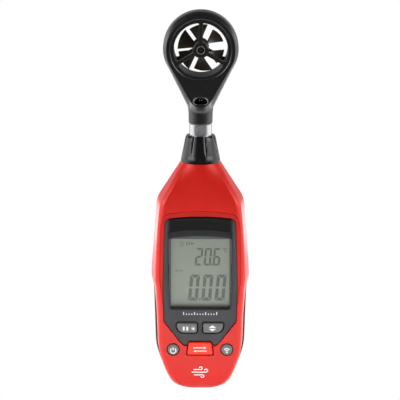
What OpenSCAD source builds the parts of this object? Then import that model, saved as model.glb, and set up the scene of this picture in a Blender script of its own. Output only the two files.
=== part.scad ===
// Handheld weather meter with a six blade vane head
// Frame: X to the right, Y to the back, Z up along the handle, origin under the middle of the bottom end
// All sizes in millimetres

/* [Handle] */
// Widest width across the handle
body_width = 45.3; // [44.8:0.1:48]
// Depth from the parting plane to the red front face
front_depth = 13.6; // [13.4:0.1:15]
// Depth from the parting plane to the back
back_depth = 14.2; // [14.2:0.1:16]
// Wall of the two shells
wall = 2.0; // [1.7:0.1:2.2]

/* [Vane head] */
// Outer radius of the round head
head_radius = 17.1; // [16.8:0.1:19]
// Half of the depth of the head
head_half_depth = 8; // [7.8:0.1:9]
// Width of the ring between the duct and the outside of the head
ring_width = 4.9; // [4.6:0.1:5.6]
// Number of blades on the impeller
blade_count = 6; // [5:1:7]
// Width between the edges of two blades seen from the front
blade_space = 2.5; // [2.1:0.1:3]
// Thickness of a blade
blade_thickness = 0.7; // [0.6:0.1:0.9]
// Gap between the blade tips and the duct
tip_gap = 1.7; // [1.3:0.1:2]
// Radius of the vane shaft
shaft_radius = 0.6; // [0.5:0.05:0.7]

/* [Neck] */
// Outer radius of the metal tube
tube_radius = 5.2; // [5.1:0.05:5.3]
// Radius of the collar at its foot
collar_foot_radius = 9; // [8.8:0.1:9.2]

/* [Battery bay] */
// Diameter of one cell
cell_diameter = 10.5; // [10.1:0.1:10.5]
// Length of one cell with its nub
cell_length = 44.5; // [44:0.1:44.5]
// Length of a contact spring as fitted
spring_length = 5; // [4.6:0.1:5]

/* [Keys] */
// Travel of a key
key_travel = 0.8; // [0.5:0.05:0.85]
// Gap round a key
key_gap = 0.3; // [0.25:0.05:0.35]
// Height of the keys above the red face
key_proud = 0.6; // [0.4:0.1:0.8]

/* [Fits] */
// Gap of fitted fixed pieces
slip = 0.15; // [0.1:0.01:0.2]
// Radial gap of the vane shaft in its bearings
run_gap = 0.03; // [0.02:0.01:0.05]
// Gap of the battery door in its channel
door_gap = 0.15; // [0.12:0.01:0.25]

/* [Hidden] */
$fn = 64;
kx = body_width / 45.3;
kf = front_depth / 13.6;
kb = back_depth / 14.2;
handle_top = 106.2;
kz = handle_top / 106.2;
cavity_top = handle_top - 8.2;
cavity_bottom = wall;
arc_steps = 6;

// Half width of both shells at the parting plane above the hips
hip_width = [[49.5, 22], [51.5, 22.5], [53.3, 22.65], [55, 22.6], [58, 22.45], [62, 22.15], [69.2, 21.65],
    [76.6, 21.15], [83, 20.6], [86, 20.3], [88, 20], [89.5, 19.6], [91, 18.9], [92.7, 17.85],
    [95.6, 16], [98, 14.45], [101.2, 12.4], [104, 10.6], [106.2, 9.2]];
// Half width of the red shell and of the black shell below them
red_width = concat([[0, 4.5], [0.25, 6.8], [0.7, 8.9], [1.6, 11.3], [3, 13.2], [5, 14.7], [7, 15.75],
    [10, 17], [13, 18.1], [15.7, 18.95], [18.3, 19.55], [21, 19.9], [26, 20.1], [34, 20.35],
    [38, 20.6], [43, 21], [47, 21.45]], hip_width);
black_width = concat([[0, 4.5], [0.25, 7], [0.7, 9.2], [1.6, 11.7], [3, 13.7], [5, 15.2], [7, 16.3],
    [10, 17.65], [13, 18.8], [15.7, 19.65], [18.3, 20.3], [21, 20.65], [26, 20.85], [34, 21.05],
    [38, 21.2], [43, 21.35], [47, 21.6]], hip_width);
// Inward lean of the side from the parting plane to the crease
red_lean = [[0, 1.2], [10, 1.1], [26, 0.95], [44, 1.3], [53.3, 2.35], [69, 1.9], [86, 1.9], [95, 1.6],
    [102, 1.1], [106.2, 0.9]];
black_lean = [[0, 1.6], [8, 2.3], [20, 2], [40, 2.2], [53.3, 2.65], [69, 2], [86, 1.9], [95, 1.6],
    [102, 1.1], [106.2, 0.9]];
// Depth of the front face and of the back face at the middle
front_profile = [[0, 9], [0.5, 10.4], [1.5, 11.5], [3, 12.4], [5, 13], [8, 13.4], [12, 13.6], [88, 13.6],
    [91, 13.3], [95, 12.6], [100, 11.1], [104, 9.8], [106.2, 9.1]];
back_profile = [[0, 10.2], [0.5, 12], [1.5, 13.2], [3, 13.9], [5, 14.2], [89, 14.2], [91, 13.7],
    [95, 12.7], [100, 11.1], [104, 9.8], [106.2, 9.1]];
// Fall of the faces from the middle to the crease, so that they run into the round collar
crown = [[0, 0], [88, 0], [91, 0.25], [95, 0.9], [98, 1.7], [101.2, 2.9], [104, 4.2], [106.2, 5.4]];
// Radius of the long front edges and of the long back edges
red_round = [[0, 3.4], [4, 2.8], [10, 2.4], [20, 2.2], [80, 2.2], [88, 2], [95, 1.6], [106.2, 1.2]];
black_round = [[0, 4], [5, 3.2], [20, 3], [80, 3], [88, 2.8], [95, 2.2], [106.2, 1.5]];

// Right half of a handle section as half width against depth
face_steps = [0.8, 0.55, 0.3, 0.1];
function half_section(p, c, d, fall, r, over) =
    let (edge = d - fall, big = fall < 0.01 ? 1e6 : (c * c + fall * fall) / (2 * fall),
        dip = asin(c / big), a = atan2(p - c, edge), t = r * tan((90 - a - dip) / 2),
        cx = c + t * sin(a) - r * cos(a), cy = edge - t * cos(a) - r * sin(a), flat = c - t * cos(dip))
    concat([[p, -over]], [for (k = [0 : arc_steps]) let (f = a + (90 - dip - a) * k / arc_steps)
        [cx + r * cos(f), cy + r * sin(f)]], [for (k = face_steps) [flat * k,
        fall < 0.01 ? d : d - big + sqrt(big * big - flat * flat * k * k)]]);
function full_row(h, s, z) = concat([for (q = h) [q[0], s * q[1], z]],
    [for (k = [len(h) - 1 : -1 : 0]) [-h[k][0], s * h[k][1], z]]);
function red_row(z, inset, face, over) =
    let (h = z / kz, p = kx * lookup(h, red_width) - inset, c = p - lookup(h, red_lean),
        d = kf * lookup(h, front_profile) - face, r = max(0.8, min(lookup(h, red_round), d - 0.2) - inset))
    full_row(half_section(p, c, d, lookup(h, crown), r, over), -1, z);
function black_row(z, inset, over) =
    let (h = z / kz, p = kx * lookup(h, black_width) - inset, c = p - lookup(h, black_lean),
        d = kb * lookup(h, back_profile) - inset, r = max(0.8, min(lookup(h, black_round), d - 0.2) - inset))
    full_row(half_section(p, c, d, lookup(h, crown), r, over), 1, z);
outer_stations = [for (w = red_width) w[0] * kz];
inner_stations = concat([cavity_bottom], [for (w = red_width) if (w[0] * kz > cavity_bottom + 0.5
    && w[0] * kz < cavity_top - 0.5) w[0] * kz], [cavity_top]);

// Solid through rows of points
module loft(rows, flip = false) {
    n = len(rows[0]);
    m = len(rows);
    points = [for (r = rows) for (q = r) q];
    skin = [for (i = [0 : m - 2]) for (j = [0 : n - 1]) for (k = [0 : 1])
        let (a = i * n + j, b = i * n + (j + 1) % n) k == 0 ? [a, b, b + n] : [a, b + n, a + n]];
    top = [for (j = [0 : n - 1]) (m - 1) * n + j];
    foot = [for (j = [n - 1 : -1 : 0]) j];
    faces = concat(skin, [top], [foot]);
    polyhedron(points, flip ? [for (f = faces) [for (k = [len(f) - 1 : -1 : 0]) f[k]]] : faces);
}

// Outline corner rounded by radius r between its neighbours
function unit(v) = v / norm(v);
function round_corner(p, a, b, r, n) = r <= 0 ? [p] :
    let (u = unit(a - p), v = unit(b - p), g = acos(u * v), q = p + u * r / tan(g / 2),
        w = p + v * r / tan(g / 2), c = p + unit(u + v) * r / sin(g / 2), s = atan2(q[1] - c[1], q[0] - c[0]),
        e = atan2(w[1] - c[1], w[0] - c[0]), d = (e - s + 900) % 360 - 180)
    [for (k = [0 : n]) c + r * [cos(s + d * k / n), sin(s + d * k / n)]];
function rounded(list, n = 5) = let (m = len(list)) [for (i = [0 : m - 1])
    each round_corner([list[i][0], list[i][1]], [list[(i + m - 1) % m][0], list[(i + m - 1) % m][1]],
        [list[(i + 1) % m][0], list[(i + 1) % m][1]], list[i][2], n)];
function both_sides(list) = concat(list,
    [for (k = [len(list) - 1 : -1 : 0]) [-list[k][0], list[k][1], list[k][2]]]);

// Outline in the X Z plane made solid from y0 to y1
module plate(outline, y0, y1) {
    translate([0, y1, 0]) rotate([90, 0, 0]) linear_extrude(y1 - y0) polygon(outline);
}
module block(x0, x1, y0, y1, z0, z1) {
    translate([x0, y0, z0]) cube([x1 - x0, y1 - y0, z1 - z0]);
}
module along_y(r, y0, y1, x = 0, z = 0) {
    translate([x, y1, z]) rotate([90, 0, 0]) cylinder(r = r, h = y1 - y0);
}
module along_z(r, z0, z1, x = 0, y = 0) {
    translate([x, y, z0]) cylinder(r = r, h = z1 - z0);
}

// Depth levels of the front stack
face_y = -front_depth;
recess_y = face_y + 0.5;
bezel_y = face_y + 0.4;
bezel_thick = 1.6;
pocket_y = bezel_y + bezel_thick;
face_wall = 3.0;
inner_y = face_y + face_wall;
lens_drop = 2.6;
lens_y = face_y + lens_drop;
lens_thick = 1.2;
ledge = 0.8;
boss_y = lens_y + lens_thick + ledge;
lcd_y = boss_y + 0.1;
lcd_thick = 2.6;
light_y = lcd_y + lcd_thick + 0.05;
light_thick = 1.85;
board_y = light_y + light_thick;
board_thick = 1.6;
board_back = board_y + board_thick;

// Outlines of the front
lens_half = 14.7;
lens_bottom = 38.5;
lens_top = 76.1;
window_half = lens_half - 1.2;
window_bottom = lens_bottom + 0.5;
window_top = lens_top - 4.4;
boss_half = lens_half + 1.0;
boss_bottom = lens_bottom - 1.9;
boss_top = lens_top + 1.9;
bezel_half = lens_half + 2.35;
bezel_top = lens_top + 6.8;
bezel_hip = lens_bottom - 5.0;
bezel_foot = lens_bottom - 16.5;
waist = (lens_top + lens_bottom) / 2 - 8.3;
recess_outline = rounded(both_sides([[0, bezel_top + 3.2, 0], [bezel_half / 2, bezel_top + 2.8, 0],
    [bezel_half - 0.85, bezel_top + 1.5, 2.5], [bezel_half + 1.85, bezel_top - 4.9, 5],
    [bezel_half + 2.15, waist + 4, 6], [bezel_half + 1.15, bezel_hip - 0.4, 2],
    [bezel_half - 7.45, bezel_foot, 0]]));
function bezel_outline(m) = rounded(both_sides([[4, bezel_top - 0.05 + m, 0], [9, bezel_top - 0.5 + m, 0],
    [bezel_half - 1.15 + m, bezel_top - 1.9 + m, 1.4], [bezel_half - 0.55 + m, lens_top - 6, 0],
    [bezel_half + m, waist, 0], [bezel_half - 0.45 + m, bezel_hip - m / 2, 2],
    [bezel_half - 8.15 + m / 2, bezel_foot + 1.2 - m / 2, 3], [bezel_half - 9.65, bezel_foot - m, 2]]));
well_front = rounded(both_sides([[4, bezel_top - 0.9, 0], [9, bezel_top - 1.35, 0],
    [lens_half + 0.4, bezel_top - 2.6, 1.6], [lens_half + 1.2, lens_top - 10, 0],
    [lens_half + 1.3, waist, 0], [lens_half - 0.2, lens_bottom - 0.1, 1.6]]));
function lens_outline(m) = rounded(both_sides([[5, lens_top + m, 0], [lens_half + m, lens_top - 1.2 + m, 0.8],
    [lens_half + m, lens_top - 16, 0], [lens_half - 0.8 + m, lens_bottom - m, 1.6]]));
lcd_half = boss_half - 0.5;
lcd_bottom = boss_bottom + 0.8;
lcd_top = boss_top - 3.4;

// Outlines of the keys
key_height = 4.8;
hold_in = 1.4;
hold_out = 10.7;
hold_top = lens_bottom - 5.7;
hold_foot = hold_top - key_height;
units_top = hold_foot - 4.4;
units_foot = units_top - 6.2;
units_half = 5.5;
units_flare = 0.6;
hold_outline = rounded([[-hold_out, hold_top, 0.8], [-hold_in, hold_top, 0.6], [-hold_in, hold_foot, 0.6],
    [-hold_out, hold_foot, 3.4]]);
hold_hole = rounded([[-hold_out - key_gap, hold_top + key_gap, 0.9],
    [-hold_in + key_gap, hold_top + key_gap, 0.7], [-hold_in + key_gap, hold_foot - key_gap, 0.7],
    [-hold_out - key_gap, hold_foot - key_gap, 3.5]]);
units_outline = rounded(both_sides([[units_half, units_top, 0.8],
    [units_half + units_flare, units_foot, 0.5]]));
units_hole = rounded(both_sides([[units_half + 0.05 + key_gap, units_top + key_gap, 0.9],
    [units_half + units_flare + 0.05 + key_gap, units_foot - key_gap, 0.6]]));
board_half = body_width / 2 - wall - 3.45;
round_key = 2.65;
round_x = board_half - 4.8;
round_z = units_top - 3.6;
function mirrored(list) = [for (k = [len(list) - 1 : -1 : 0]) [-list[k][0], list[k][1]]];
key_front = face_y - key_proud;
flange_y = inner_y + 0.3;
flange_thick = 0.8;
flange_lip = 0.7;
dome_height = 1.15;
stem_end = board_y - dome_height - 0.1 - key_travel;
stem_radius = 1.3;
mat_skin = 0.8;
mat_y = flange_y + flange_thick + key_travel + 0.5;
mat_half = board_half - 1.4;
mat_foot = units_foot - 0.9;
mat_top = hold_top + 1.6;
hold_centre = [-(hold_in + hold_out) / 2, (hold_top + hold_foot) / 2];
units_centre = [0, (units_top + units_foot) / 2];

// Battery bay
cell_radius = cell_diameter / 2;
cell_pitch = cell_diameter + 0.5;
cell_room = 0.2;
door_thick = 2.0;
door_in = back_depth - door_thick;
bay_floor = door_in - 2 * cell_radius - cell_room - 0.5;
bay_skin = 1.0;
cell_y = bay_floor + cell_room + cell_radius;
bay_half = cell_pitch + cell_radius + 0.15;
plate_thick = 0.4;
bump = 0.9;
bay_head = 73.9;
bay_foot = bay_head - 2 * plate_thick - spring_length - cell_length - bump - 0.1;
door_top = bay_head + 2.1;
door_half = bay_half + 0.2;
tongue = 1.05;
tongue_thick = 0.8;
tongue_foot = bay_foot + 3.4;
tongue_top = bay_head + 0.4;

// Screws and bosses
board_foot_z = 15.5;
board_top_z = cavity_top - 8;
case_screw_radius = 1.0;
case_top = [11, cavity_top - 4.6];
case_foot = [9.3, 9.2];
case_head_y = 8;
board_top = [board_half - 2.8, board_top_z - 6];
board_foot = [board_half - 1.8, (hold_top + hold_foot) / 2 - 2.4];
board_screw_radius = 0.9;
chip_side = 1.6;
chip_foot = board_top_z - 22;
chip_pitch = 1.05;

// Neck
spigot_radius = tube_radius - 1.2;
tube_bore = 2.6;
collar_foot = handle_top + 0.05;
collar_height = 12.35;
collar_top = collar_foot + collar_height;
collar_rim_radius = tube_radius + 1.65;
flute_count = 8;
flute_turn = 17.5;
flute_radius = 1.0;
flute_foot = collar_foot + 3.75;
flute_start = collar_foot_radius - 0.6;
flute_tilt = 17;
tube_show = 5.25;
tube_shoulder = collar_top + tube_show;
sleeve_height = 5.45;
sleeve_top = tube_shoulder + sleeve_height;
spigot_top = sleeve_top + 2;
flange_radius = tube_radius + 1.4;
sleeve_radius = tube_radius + 0.3;

// Vane head
head_rise = 29.2;
head_z = sleeve_top + head_rise;
duct_radius = head_radius - ring_width;
ring_radius = duct_radius + 1.5;
ring_seat = ring_radius + 0.05;
rim = 1.5;
rim_start = 30;
tip_radius = 4.4;
hub_radius = 3.7;
spoke_width = 1.7;
spoke_depth = 1.8;
hub_depth = 2.4;
rotor_half = head_half_depth - 3.0;
rotor_hub = 3.2;
blade_half = rotor_half - 0.7;
blade_tip = duct_radius - tip_gap;
bearing_radius = 1.9;
end_play = 0.15;
head_screw = [6.4, sleeve_top + 11.9];
head_screw_radius = 0.8;
lead_radius = 1.4;
pickup_foot = sleeve_top + 10.9;
pickup_top = head_z - ring_radius - 0.25;
tip_z = sleeve_top + 8.4;
bead_z = sleeve_top + 5.9;
bead_y = -head_half_depth + 2.4;

// Insert in the back
insert_z = door_top + 8;
insert_radius = 3.9;
insert_length = 7;
insert_bore = 2.55;
insert_back = back_depth - 0.2;

module red_solid() {
    loft([for (z = outer_stations) red_row(z, 0, 0, 0)]);
}
module red_cavity() {
    loft([for (z = inner_stations) red_row(z, wall, face_wall, 0.5)]);
}
module black_solid() {
    loft([for (z = outer_stations) black_row(z, 0, 0)], true);
}
module black_cavity() {
    loft([for (z = inner_stations) black_row(z, wall, 0.5)], true);
}

module front_shell() {
    color([0.75, 0.1, 0.08])
    difference() {
        union() {
            difference() {
                red_solid();
                red_cavity();
            }
            for (s = [-1, 1]) {
                along_y(2.4, inner_y - 0.2, 0, s * case_top[0], case_top[1]);
                along_y(2.4, inner_y - 0.2, 0, s * case_foot[0], case_foot[1]);
                along_y(2.2, inner_y - 0.2, board_y, s * board_top[0], board_top[1]);
                along_y(2.2, inner_y - 0.2, board_y, s * board_foot[0], board_foot[1]);
            }
        }
        plate(recess_outline, face_y - 1, recess_y);
        plate(bezel_outline(slip), face_y - 1, pocket_y);
        block(-boss_half - slip, boss_half + slip, face_y, inner_y + 1, boss_bottom - slip, boss_top + slip);
        plate(hold_hole, face_y, inner_y + 1);
        plate(mirrored(hold_hole), face_y, inner_y + 1);
        plate(units_hole, face_y - 1, inner_y + 1);
        for (s = [-1, 1]) {
            along_y(round_key + key_gap, face_y - 1, inner_y + 1, s * round_x, round_z);
            along_y(case_screw_radius + 0.05, inner_y + 2, 1, s * case_top[0], case_top[1]);
            along_y(case_screw_radius + 0.05, inner_y + 2, 1, s * case_foot[0], case_foot[1]);
            along_y(board_screw_radius + 0.05, inner_y + 0.8, board_y + 1, s * board_top[0], board_top[1]);
            along_y(board_screw_radius + 0.05, inner_y + 0.8, board_y + 1, s * board_foot[0], board_foot[1]);
        }
        along_z(tube_radius + 0.05, cavity_top - 1, handle_top + 1);
    }
}

module rear_shell() {
    color([0.09, 0.09, 0.1])
    difference() {
        union() {
            difference() {
                black_solid();
                black_cavity();
            }
            block(-bay_half - 2.6, bay_half + 2.6, bay_floor - bay_skin, back_depth - 1, bay_foot - 1.4,
                bay_head + 1.4);
            for (s = [-1, 1]) {
                along_y(2.6, 0, back_depth * 0.8, s * case_top[0], case_top[1]);
                along_y(2.6, 0, back_depth - 1, s * case_foot[0], case_foot[1]);
                block(s * case_foot[0] - 0.8, s * case_foot[0] + 0.8, 0, door_in - 0.5, 1, case_foot[1]);
            }
            along_y(insert_radius + 1.8, insert_back - insert_length - 1.2, back_depth - 1, 0, insert_z);
        }
        block(-bay_half, bay_half, bay_floor, back_depth + 1, bay_foot, bay_head);
        block(-door_half, door_half, door_in - door_gap, back_depth + 2, -2, door_top + door_gap);
        block(-door_half - tongue - 0.1, door_half + tongue + 0.1, door_in - door_gap,
            door_in + tongue_thick + door_gap, -2, tongue_top + door_gap);
        for (s = [-1, 1]) {
            along_y(case_screw_radius + 0.15, -1, back_depth, s * case_top[0], case_top[1]);
            along_y(case_screw_radius + 0.15, -1, back_depth, s * case_foot[0], case_foot[1]);
            along_y(2.1, case_head_y - 1.8, back_depth + 2, s * case_top[0], case_top[1]);
            along_y(2.1, case_head_y - 1.8, back_depth + 2, s * case_foot[0], case_foot[1]);
        }
        along_y(insert_radius + 0.02, insert_back - insert_length, back_depth + 1, 0, insert_z);
        along_z(tube_radius + 0.05, cavity_top - 1, handle_top + 1);
    }
}

module battery_door() {
    color([0.1, 0.1, 0.11])
    union() {
        difference() {
            intersection() {
                black_solid();
                block(-door_half + door_gap, door_half - door_gap, door_in, back_depth + 1, -1, door_top);
            }
            for (k = [0 : 4]) {
                translate([-7, back_depth + 0.5, door_top - 18 + 2.4 * k]) rotate([0, 90, 0])
                    cylinder(r = 1.0, h = 14);
            }
        }
        for (s = [-1, 1]) {
            block(min(s * (door_half - 1), s * (door_half + tongue - door_gap)),
                max(s * (door_half - 1), s * (door_half + tongue - door_gap)),
                door_in, door_in + tongue_thick, tongue_foot, tongue_top);
        }
    }
}

module bezel() {
    color([0.26, 0.26, 0.27])
    difference() {
        union() {
            plate(bezel_outline(0), bezel_y, pocket_y);
            block(-boss_half, boss_half, pocket_y - 0.5, boss_y, boss_bottom, boss_top);
        }
        hull() {
            plate(well_front, bezel_y - 0.3, bezel_y);
            plate(lens_outline(0.1), lens_y - 0.02, lens_y);
        }
        plate(lens_outline(0.1), lens_y - 0.1, lens_y + lens_thick);
        block(-window_half, window_half, lens_y, boss_y + 1, window_bottom, window_top);
        plate(hold_hole, bezel_y - 1, pocket_y + 1);
        plate(mirrored(hold_hole), bezel_y - 1, pocket_y + 1);
        plate(units_hole, bezel_y - 1, pocket_y + 1);
    }
}

module lens() {
    color([0.75, 0.8, 0.8, 0.4]) plate(lens_outline(0), lens_y, lens_y + lens_thick);
}

module lcd_panel() {
    color([0.57, 0.6, 0.55]) union() {
        block(-lcd_half, lcd_half, lcd_y, lcd_y + lcd_thick / 2, lcd_bottom, lcd_top);
        block(-lcd_half, lcd_half, lcd_y + lcd_thick / 2, lcd_y + lcd_thick, lcd_bottom, lcd_top - 1.2);
    }
}

module backlight_panel() {
    color([0.9, 0.9, 0.85]) block(-lcd_half, lcd_half, light_y, board_y, lcd_bottom + 3.4, lcd_top);
}

module zebra_strip() {
    color([0.7, 0.4, 0.45]) block(-lcd_half + 0.8, lcd_half - 0.8, light_y, board_y, lcd_bottom + 0.2,
        lcd_bottom + 2.8);
}

module keypad_mat() {
    color([0.5, 0.5, 0.52])
    difference() {
        union() {
            block(-mat_half + 3, mat_half - 3, mat_y, board_y, units_top, mat_top);
            block(-mat_half, mat_half, mat_y, board_y, mat_foot, units_top + 0.6);
        }
        block(-mat_half + 4, mat_half - 4, mat_y + mat_skin, board_y + 1, units_top - 1, mat_top - 1);
        block(-mat_half + 1, mat_half - 1, mat_y + mat_skin, board_y + 1, mat_foot + 1, units_top - 0.4);
        for (s = [-1, 1]) {
            along_y(stem_radius + 0.4, mat_y - 1, board_y, s * hold_centre[0], hold_centre[1]);
            along_y(stem_radius + 0.4, mat_y - 1, board_y, s * round_x, round_z);
        }
        along_y(stem_radius + 0.4, mat_y - 1, board_y, units_centre[0], units_centre[1]);
    }
}

module dome(x, z) {
    along_y(2.0, board_y - 0.6, board_y, x, z);
    along_y(1.5, board_y - dome_height, board_y - 0.5, x, z);
}
module dome_switches() {
    color([0.8, 0.8, 0.78]) {
        for (s = [-1, 1]) {
            dome(s * hold_centre[0], hold_centre[1]);
            dome(s * round_x, round_z);
        }
        dome(units_centre[0], units_centre[1]);
    }
}

module hold_body() {
    union() {
        plate(hold_outline, key_front, flange_y + 0.1);
        block(-hold_out - flange_lip, -hold_in + flange_lip, flange_y, flange_y + flange_thick,
            hold_foot - flange_lip, hold_top + flange_lip);
        along_y(stem_radius, flange_y + 0.2, stem_end, hold_centre[0], hold_centre[1]);
    }
}
module key_hold() {
    color([0.37, 0.37, 0.38]) hold_body();
}
module key_max_min() {
    color([0.37, 0.37, 0.38]) mirror([1, 0, 0]) hold_body();
}
module key_units() {
    color([0.85, 0.14, 0.1]) union() {
        plate(units_outline, key_front, flange_y + 0.1);
        block(-units_half - units_flare - flange_lip, units_half + units_flare + flange_lip, flange_y,
            flange_y + flange_thick, units_foot - flange_lip, units_top + flange_lip);
        along_y(stem_radius, flange_y + 0.2, stem_end, units_centre[0], units_centre[1]);
    }
}
module round_body(x) {
    union() {
        along_y(round_key, key_front + 0.4, flange_y + 0.1, x, round_z);
        translate([x, key_front + 0.4, round_z]) rotate([90, 0, 0])
            cylinder(r1 = round_key, r2 = round_key - 0.5, h = 0.4);
        along_y(round_key + flange_lip, flange_y, flange_y + flange_thick, x, round_z);
        along_y(stem_radius, flange_y + 0.2, stem_end, x, round_z);
    }
}
module key_power() {
    color([0.37, 0.37, 0.38]) round_body(-round_x);
}
module key_wireless() {
    color([0.37, 0.37, 0.38]) round_body(round_x);
}

module pcb() {
    color([0.05, 0.35, 0.15])
    difference() {
        plate(rounded(both_sides([[board_half - 3.6, board_foot_z, 0.6],
            [board_half - 0.6, board_foot_z + 6.5, 0.6], [board_half, board_foot_z + 14.5, 0.6],
            [board_half, board_top_z - 6, 0.6], [board_half - 4.2, board_top_z, 0.6]])), board_y, board_back);
        for (s = [-1, 1]) {
            along_y(board_screw_radius + 0.2, board_y - 1, board_back + 1, s * board_top[0], board_top[1]);
            along_y(board_screw_radius + 0.2, board_y - 1, board_back + 1, s * board_foot[0], board_foot[1]);
        }
    }
}
module controller_chip() {
    color([0.12, 0.12, 0.13]) union() {
        block(chip_side + 0.8, chip_side + 8.8, board_back + 0.25, board_back + 1.6, chip_foot,
            chip_foot + 9);
        for (k = [0 : 7]) {
            block(chip_side, chip_side + 9.6, board_back, board_back + 0.5, chip_foot + 0.6 + chip_pitch * k,
                chip_foot + 1.05 + chip_pitch * k);
        }
    }
}
module radio_module() {
    color([0.7, 0.7, 0.72]) union() {
        block(-chip_side - 9.2, -chip_side, board_back, board_back + 0.8, chip_foot - 2, chip_foot + 10);
        block(-chip_side - 8.8, -chip_side - 0.4, board_back + 0.7, board_back + 1.9, chip_foot - 1.6,
            chip_foot + 6.5);
    }
}
module lead_socket() {
    color([0.9, 0.88, 0.8]) difference() {
        block(-lead_radius - 1.2, lead_radius + 1.2, board_back, lead_radius + 0.8, board_top_z - 7.5,
            board_top_z - 2);
        along_z(lead_radius + 0.05, board_top_z - 6, board_top_z);
    }
}
module sensor_lead() {
    color([0.1, 0.1, 0.1]) along_z(lead_radius, board_top_z - 5.95, pickup_foot);
}

module collar() {
    color([0.04, 0.04, 0.04])
    difference() {
        rotate([0, 0, 30]) rotate_extrude() polygon([[tube_radius + 0.05, collar_foot],
            [collar_foot_radius, collar_foot], [collar_foot_radius, collar_foot + 0.6],
            [collar_rim_radius + 0.12, collar_top - 1.4], [collar_rim_radius - 0.15, collar_top - 0.5],
            [collar_rim_radius - 0.6, collar_top], [tube_radius + 0.05, collar_top]]);
        for (k = [0 : flute_count - 1]) {
            rotate([0, 0, flute_turn + 360 * k / flute_count])
                translate([0, -flute_start - flute_radius, flute_foot])
                    rotate([-flute_tilt, 0, 0]) translate([0, 0, -1])
                        cylinder(r = flute_radius, h = 13, $fn = 12);
        }
    }
}
module neck_tube() {
    color([0.78, 0.79, 0.8])
    difference() {
        union() {
            along_z(tube_radius, cavity_top - 0.5, tube_shoulder);
            along_z(spigot_radius, tube_shoulder - 0.5, spigot_top);
            along_z(flange_radius, cavity_top - 2.2, cavity_top - 0.05);
        }
        along_z(tube_bore, cavity_top - 3, spigot_top + 1);
    }
}
module neck_sleeve() {
    color([0.12, 0.12, 0.12])
    rotate_extrude() polygon([[spigot_radius + 0.03, tube_shoulder + 0.02],
        [sleeve_radius - 0.5, tube_shoulder + 0.02], [sleeve_radius, tube_shoulder + 0.5],
        [sleeve_radius, sleeve_top - 0.02], [spigot_radius + 0.03, sleeve_top - 0.02]]);
}

// Outer form of the head
function rim_points(s) = [for (k = [0 : 4]) let (q = (90 - rim_start) * (s > 0 ? k : 4 - k) / 4,
    f = rim_start + q)
    [head_radius - rim + rim * (sin(f) - sin(rim_start)) / (1 - sin(rim_start)),
        -s * (head_half_depth - 5 + 5 * cos(f) / cos(rim_start))]];
module head_form() {
    hull() {
        translate([0, 0, head_z]) rotate([90, 0, 0]) rotate_extrude($fn = 60)
            polygon(concat([[0, -head_half_depth]], rim_points(1), rim_points(-1), [[0, head_half_depth]]));
        along_z(sleeve_radius + 0.1, sleeve_top, sleeve_top + 1.6, $fn = 28);
        for (s = [-1, 1]) {
            along_y(tip_radius, s * (head_half_depth - 0.3) - 0.3, s * (head_half_depth - 0.3) + 0.3, 0,
                tip_z, $fn = 28);
        }
    }
}
module head_cuts() {
    along_y(ring_seat, -head_half_depth - 1, head_half_depth + 1, 0, head_z);
    along_z(spigot_radius + 0.03, sleeve_top - 1, spigot_top + 0.1);
    block(-3.3, 3.3, -3.4, 3.4, spigot_top, head_z - ring_radius + 1);
}
module head_front() {
    color([0.13, 0.13, 0.13])
    difference() {
        head_form();
        block(-head_radius - 5, head_radius + 5, 0, 30, sleeve_top - 5, head_z + head_radius + 5);
        head_cuts();
        for (s = [-1, 1]) {
            along_y(head_screw_radius + 0.05, -6, 1, s * head_screw[0], head_screw[1]);
            along_y(1.75, -head_half_depth - 1, -3, s * 1.75, bead_z);
        }
        block(-1.75, 1.75, -head_half_depth - 1, -3, bead_z - 1.75, bead_z + 1.75);
    }
}
module head_rear() {
    color([0.13, 0.13, 0.13])
    difference() {
        head_form();
        block(-head_radius - 5, head_radius + 5, -30, 0, sleeve_top - 5, head_z + head_radius + 5);
        head_cuts();
        for (s = [-1, 1]) {
            along_y(head_screw_radius + 0.15, -1, 9, s * head_screw[0], head_screw[1]);
            along_y(1.75, 4, 12, s * head_screw[0], head_screw[1]);
        }
    }
}
module spider() {
    difference() {
        union() {
            difference() {
                along_y(ring_radius, -head_half_depth + 0.2, 0);
                along_y(duct_radius, -head_half_depth - 1, 1);
            }
            along_y(hub_radius, -head_half_depth + 0.2, -head_half_depth + 0.2 + hub_depth);
            for (k = [0 : 2]) {
                rotate([0, 120 * k, 0]) block(-spoke_width / 2, spoke_width / 2, -head_half_depth + 0.2,
                    -head_half_depth + 0.2 + spoke_depth, hub_radius - 1, duct_radius + 0.8);
            }
        }
        along_y(bearing_radius + 0.02, -head_half_depth - 1, 0);
        translate([0, 0, -ring_radius - 1]) cylinder(r = 1.3, h = 4);
    }
}
module front_spider() {
    color([0.1, 0.1, 0.1]) translate([0, 0, head_z]) spider();
}
module rear_spider() {
    color([0.1, 0.1, 0.1]) translate([0, 0, head_z]) mirror([0, 1, 0]) spider();
}
module bearing() {
    difference() {
        along_y(bearing_radius, -head_half_depth + 0.2, -rotor_half - end_play);
        along_y(shaft_radius + run_gap, -head_half_depth - 1, 0);
    }
}
module front_bearing() {
    color([0.78, 0.68, 0.45]) translate([0, 0, head_z]) bearing();
}
module rear_bearing() {
    color([0.78, 0.68, 0.45]) translate([0, 0, head_z]) mirror([0, 1, 0]) bearing();
}

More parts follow.
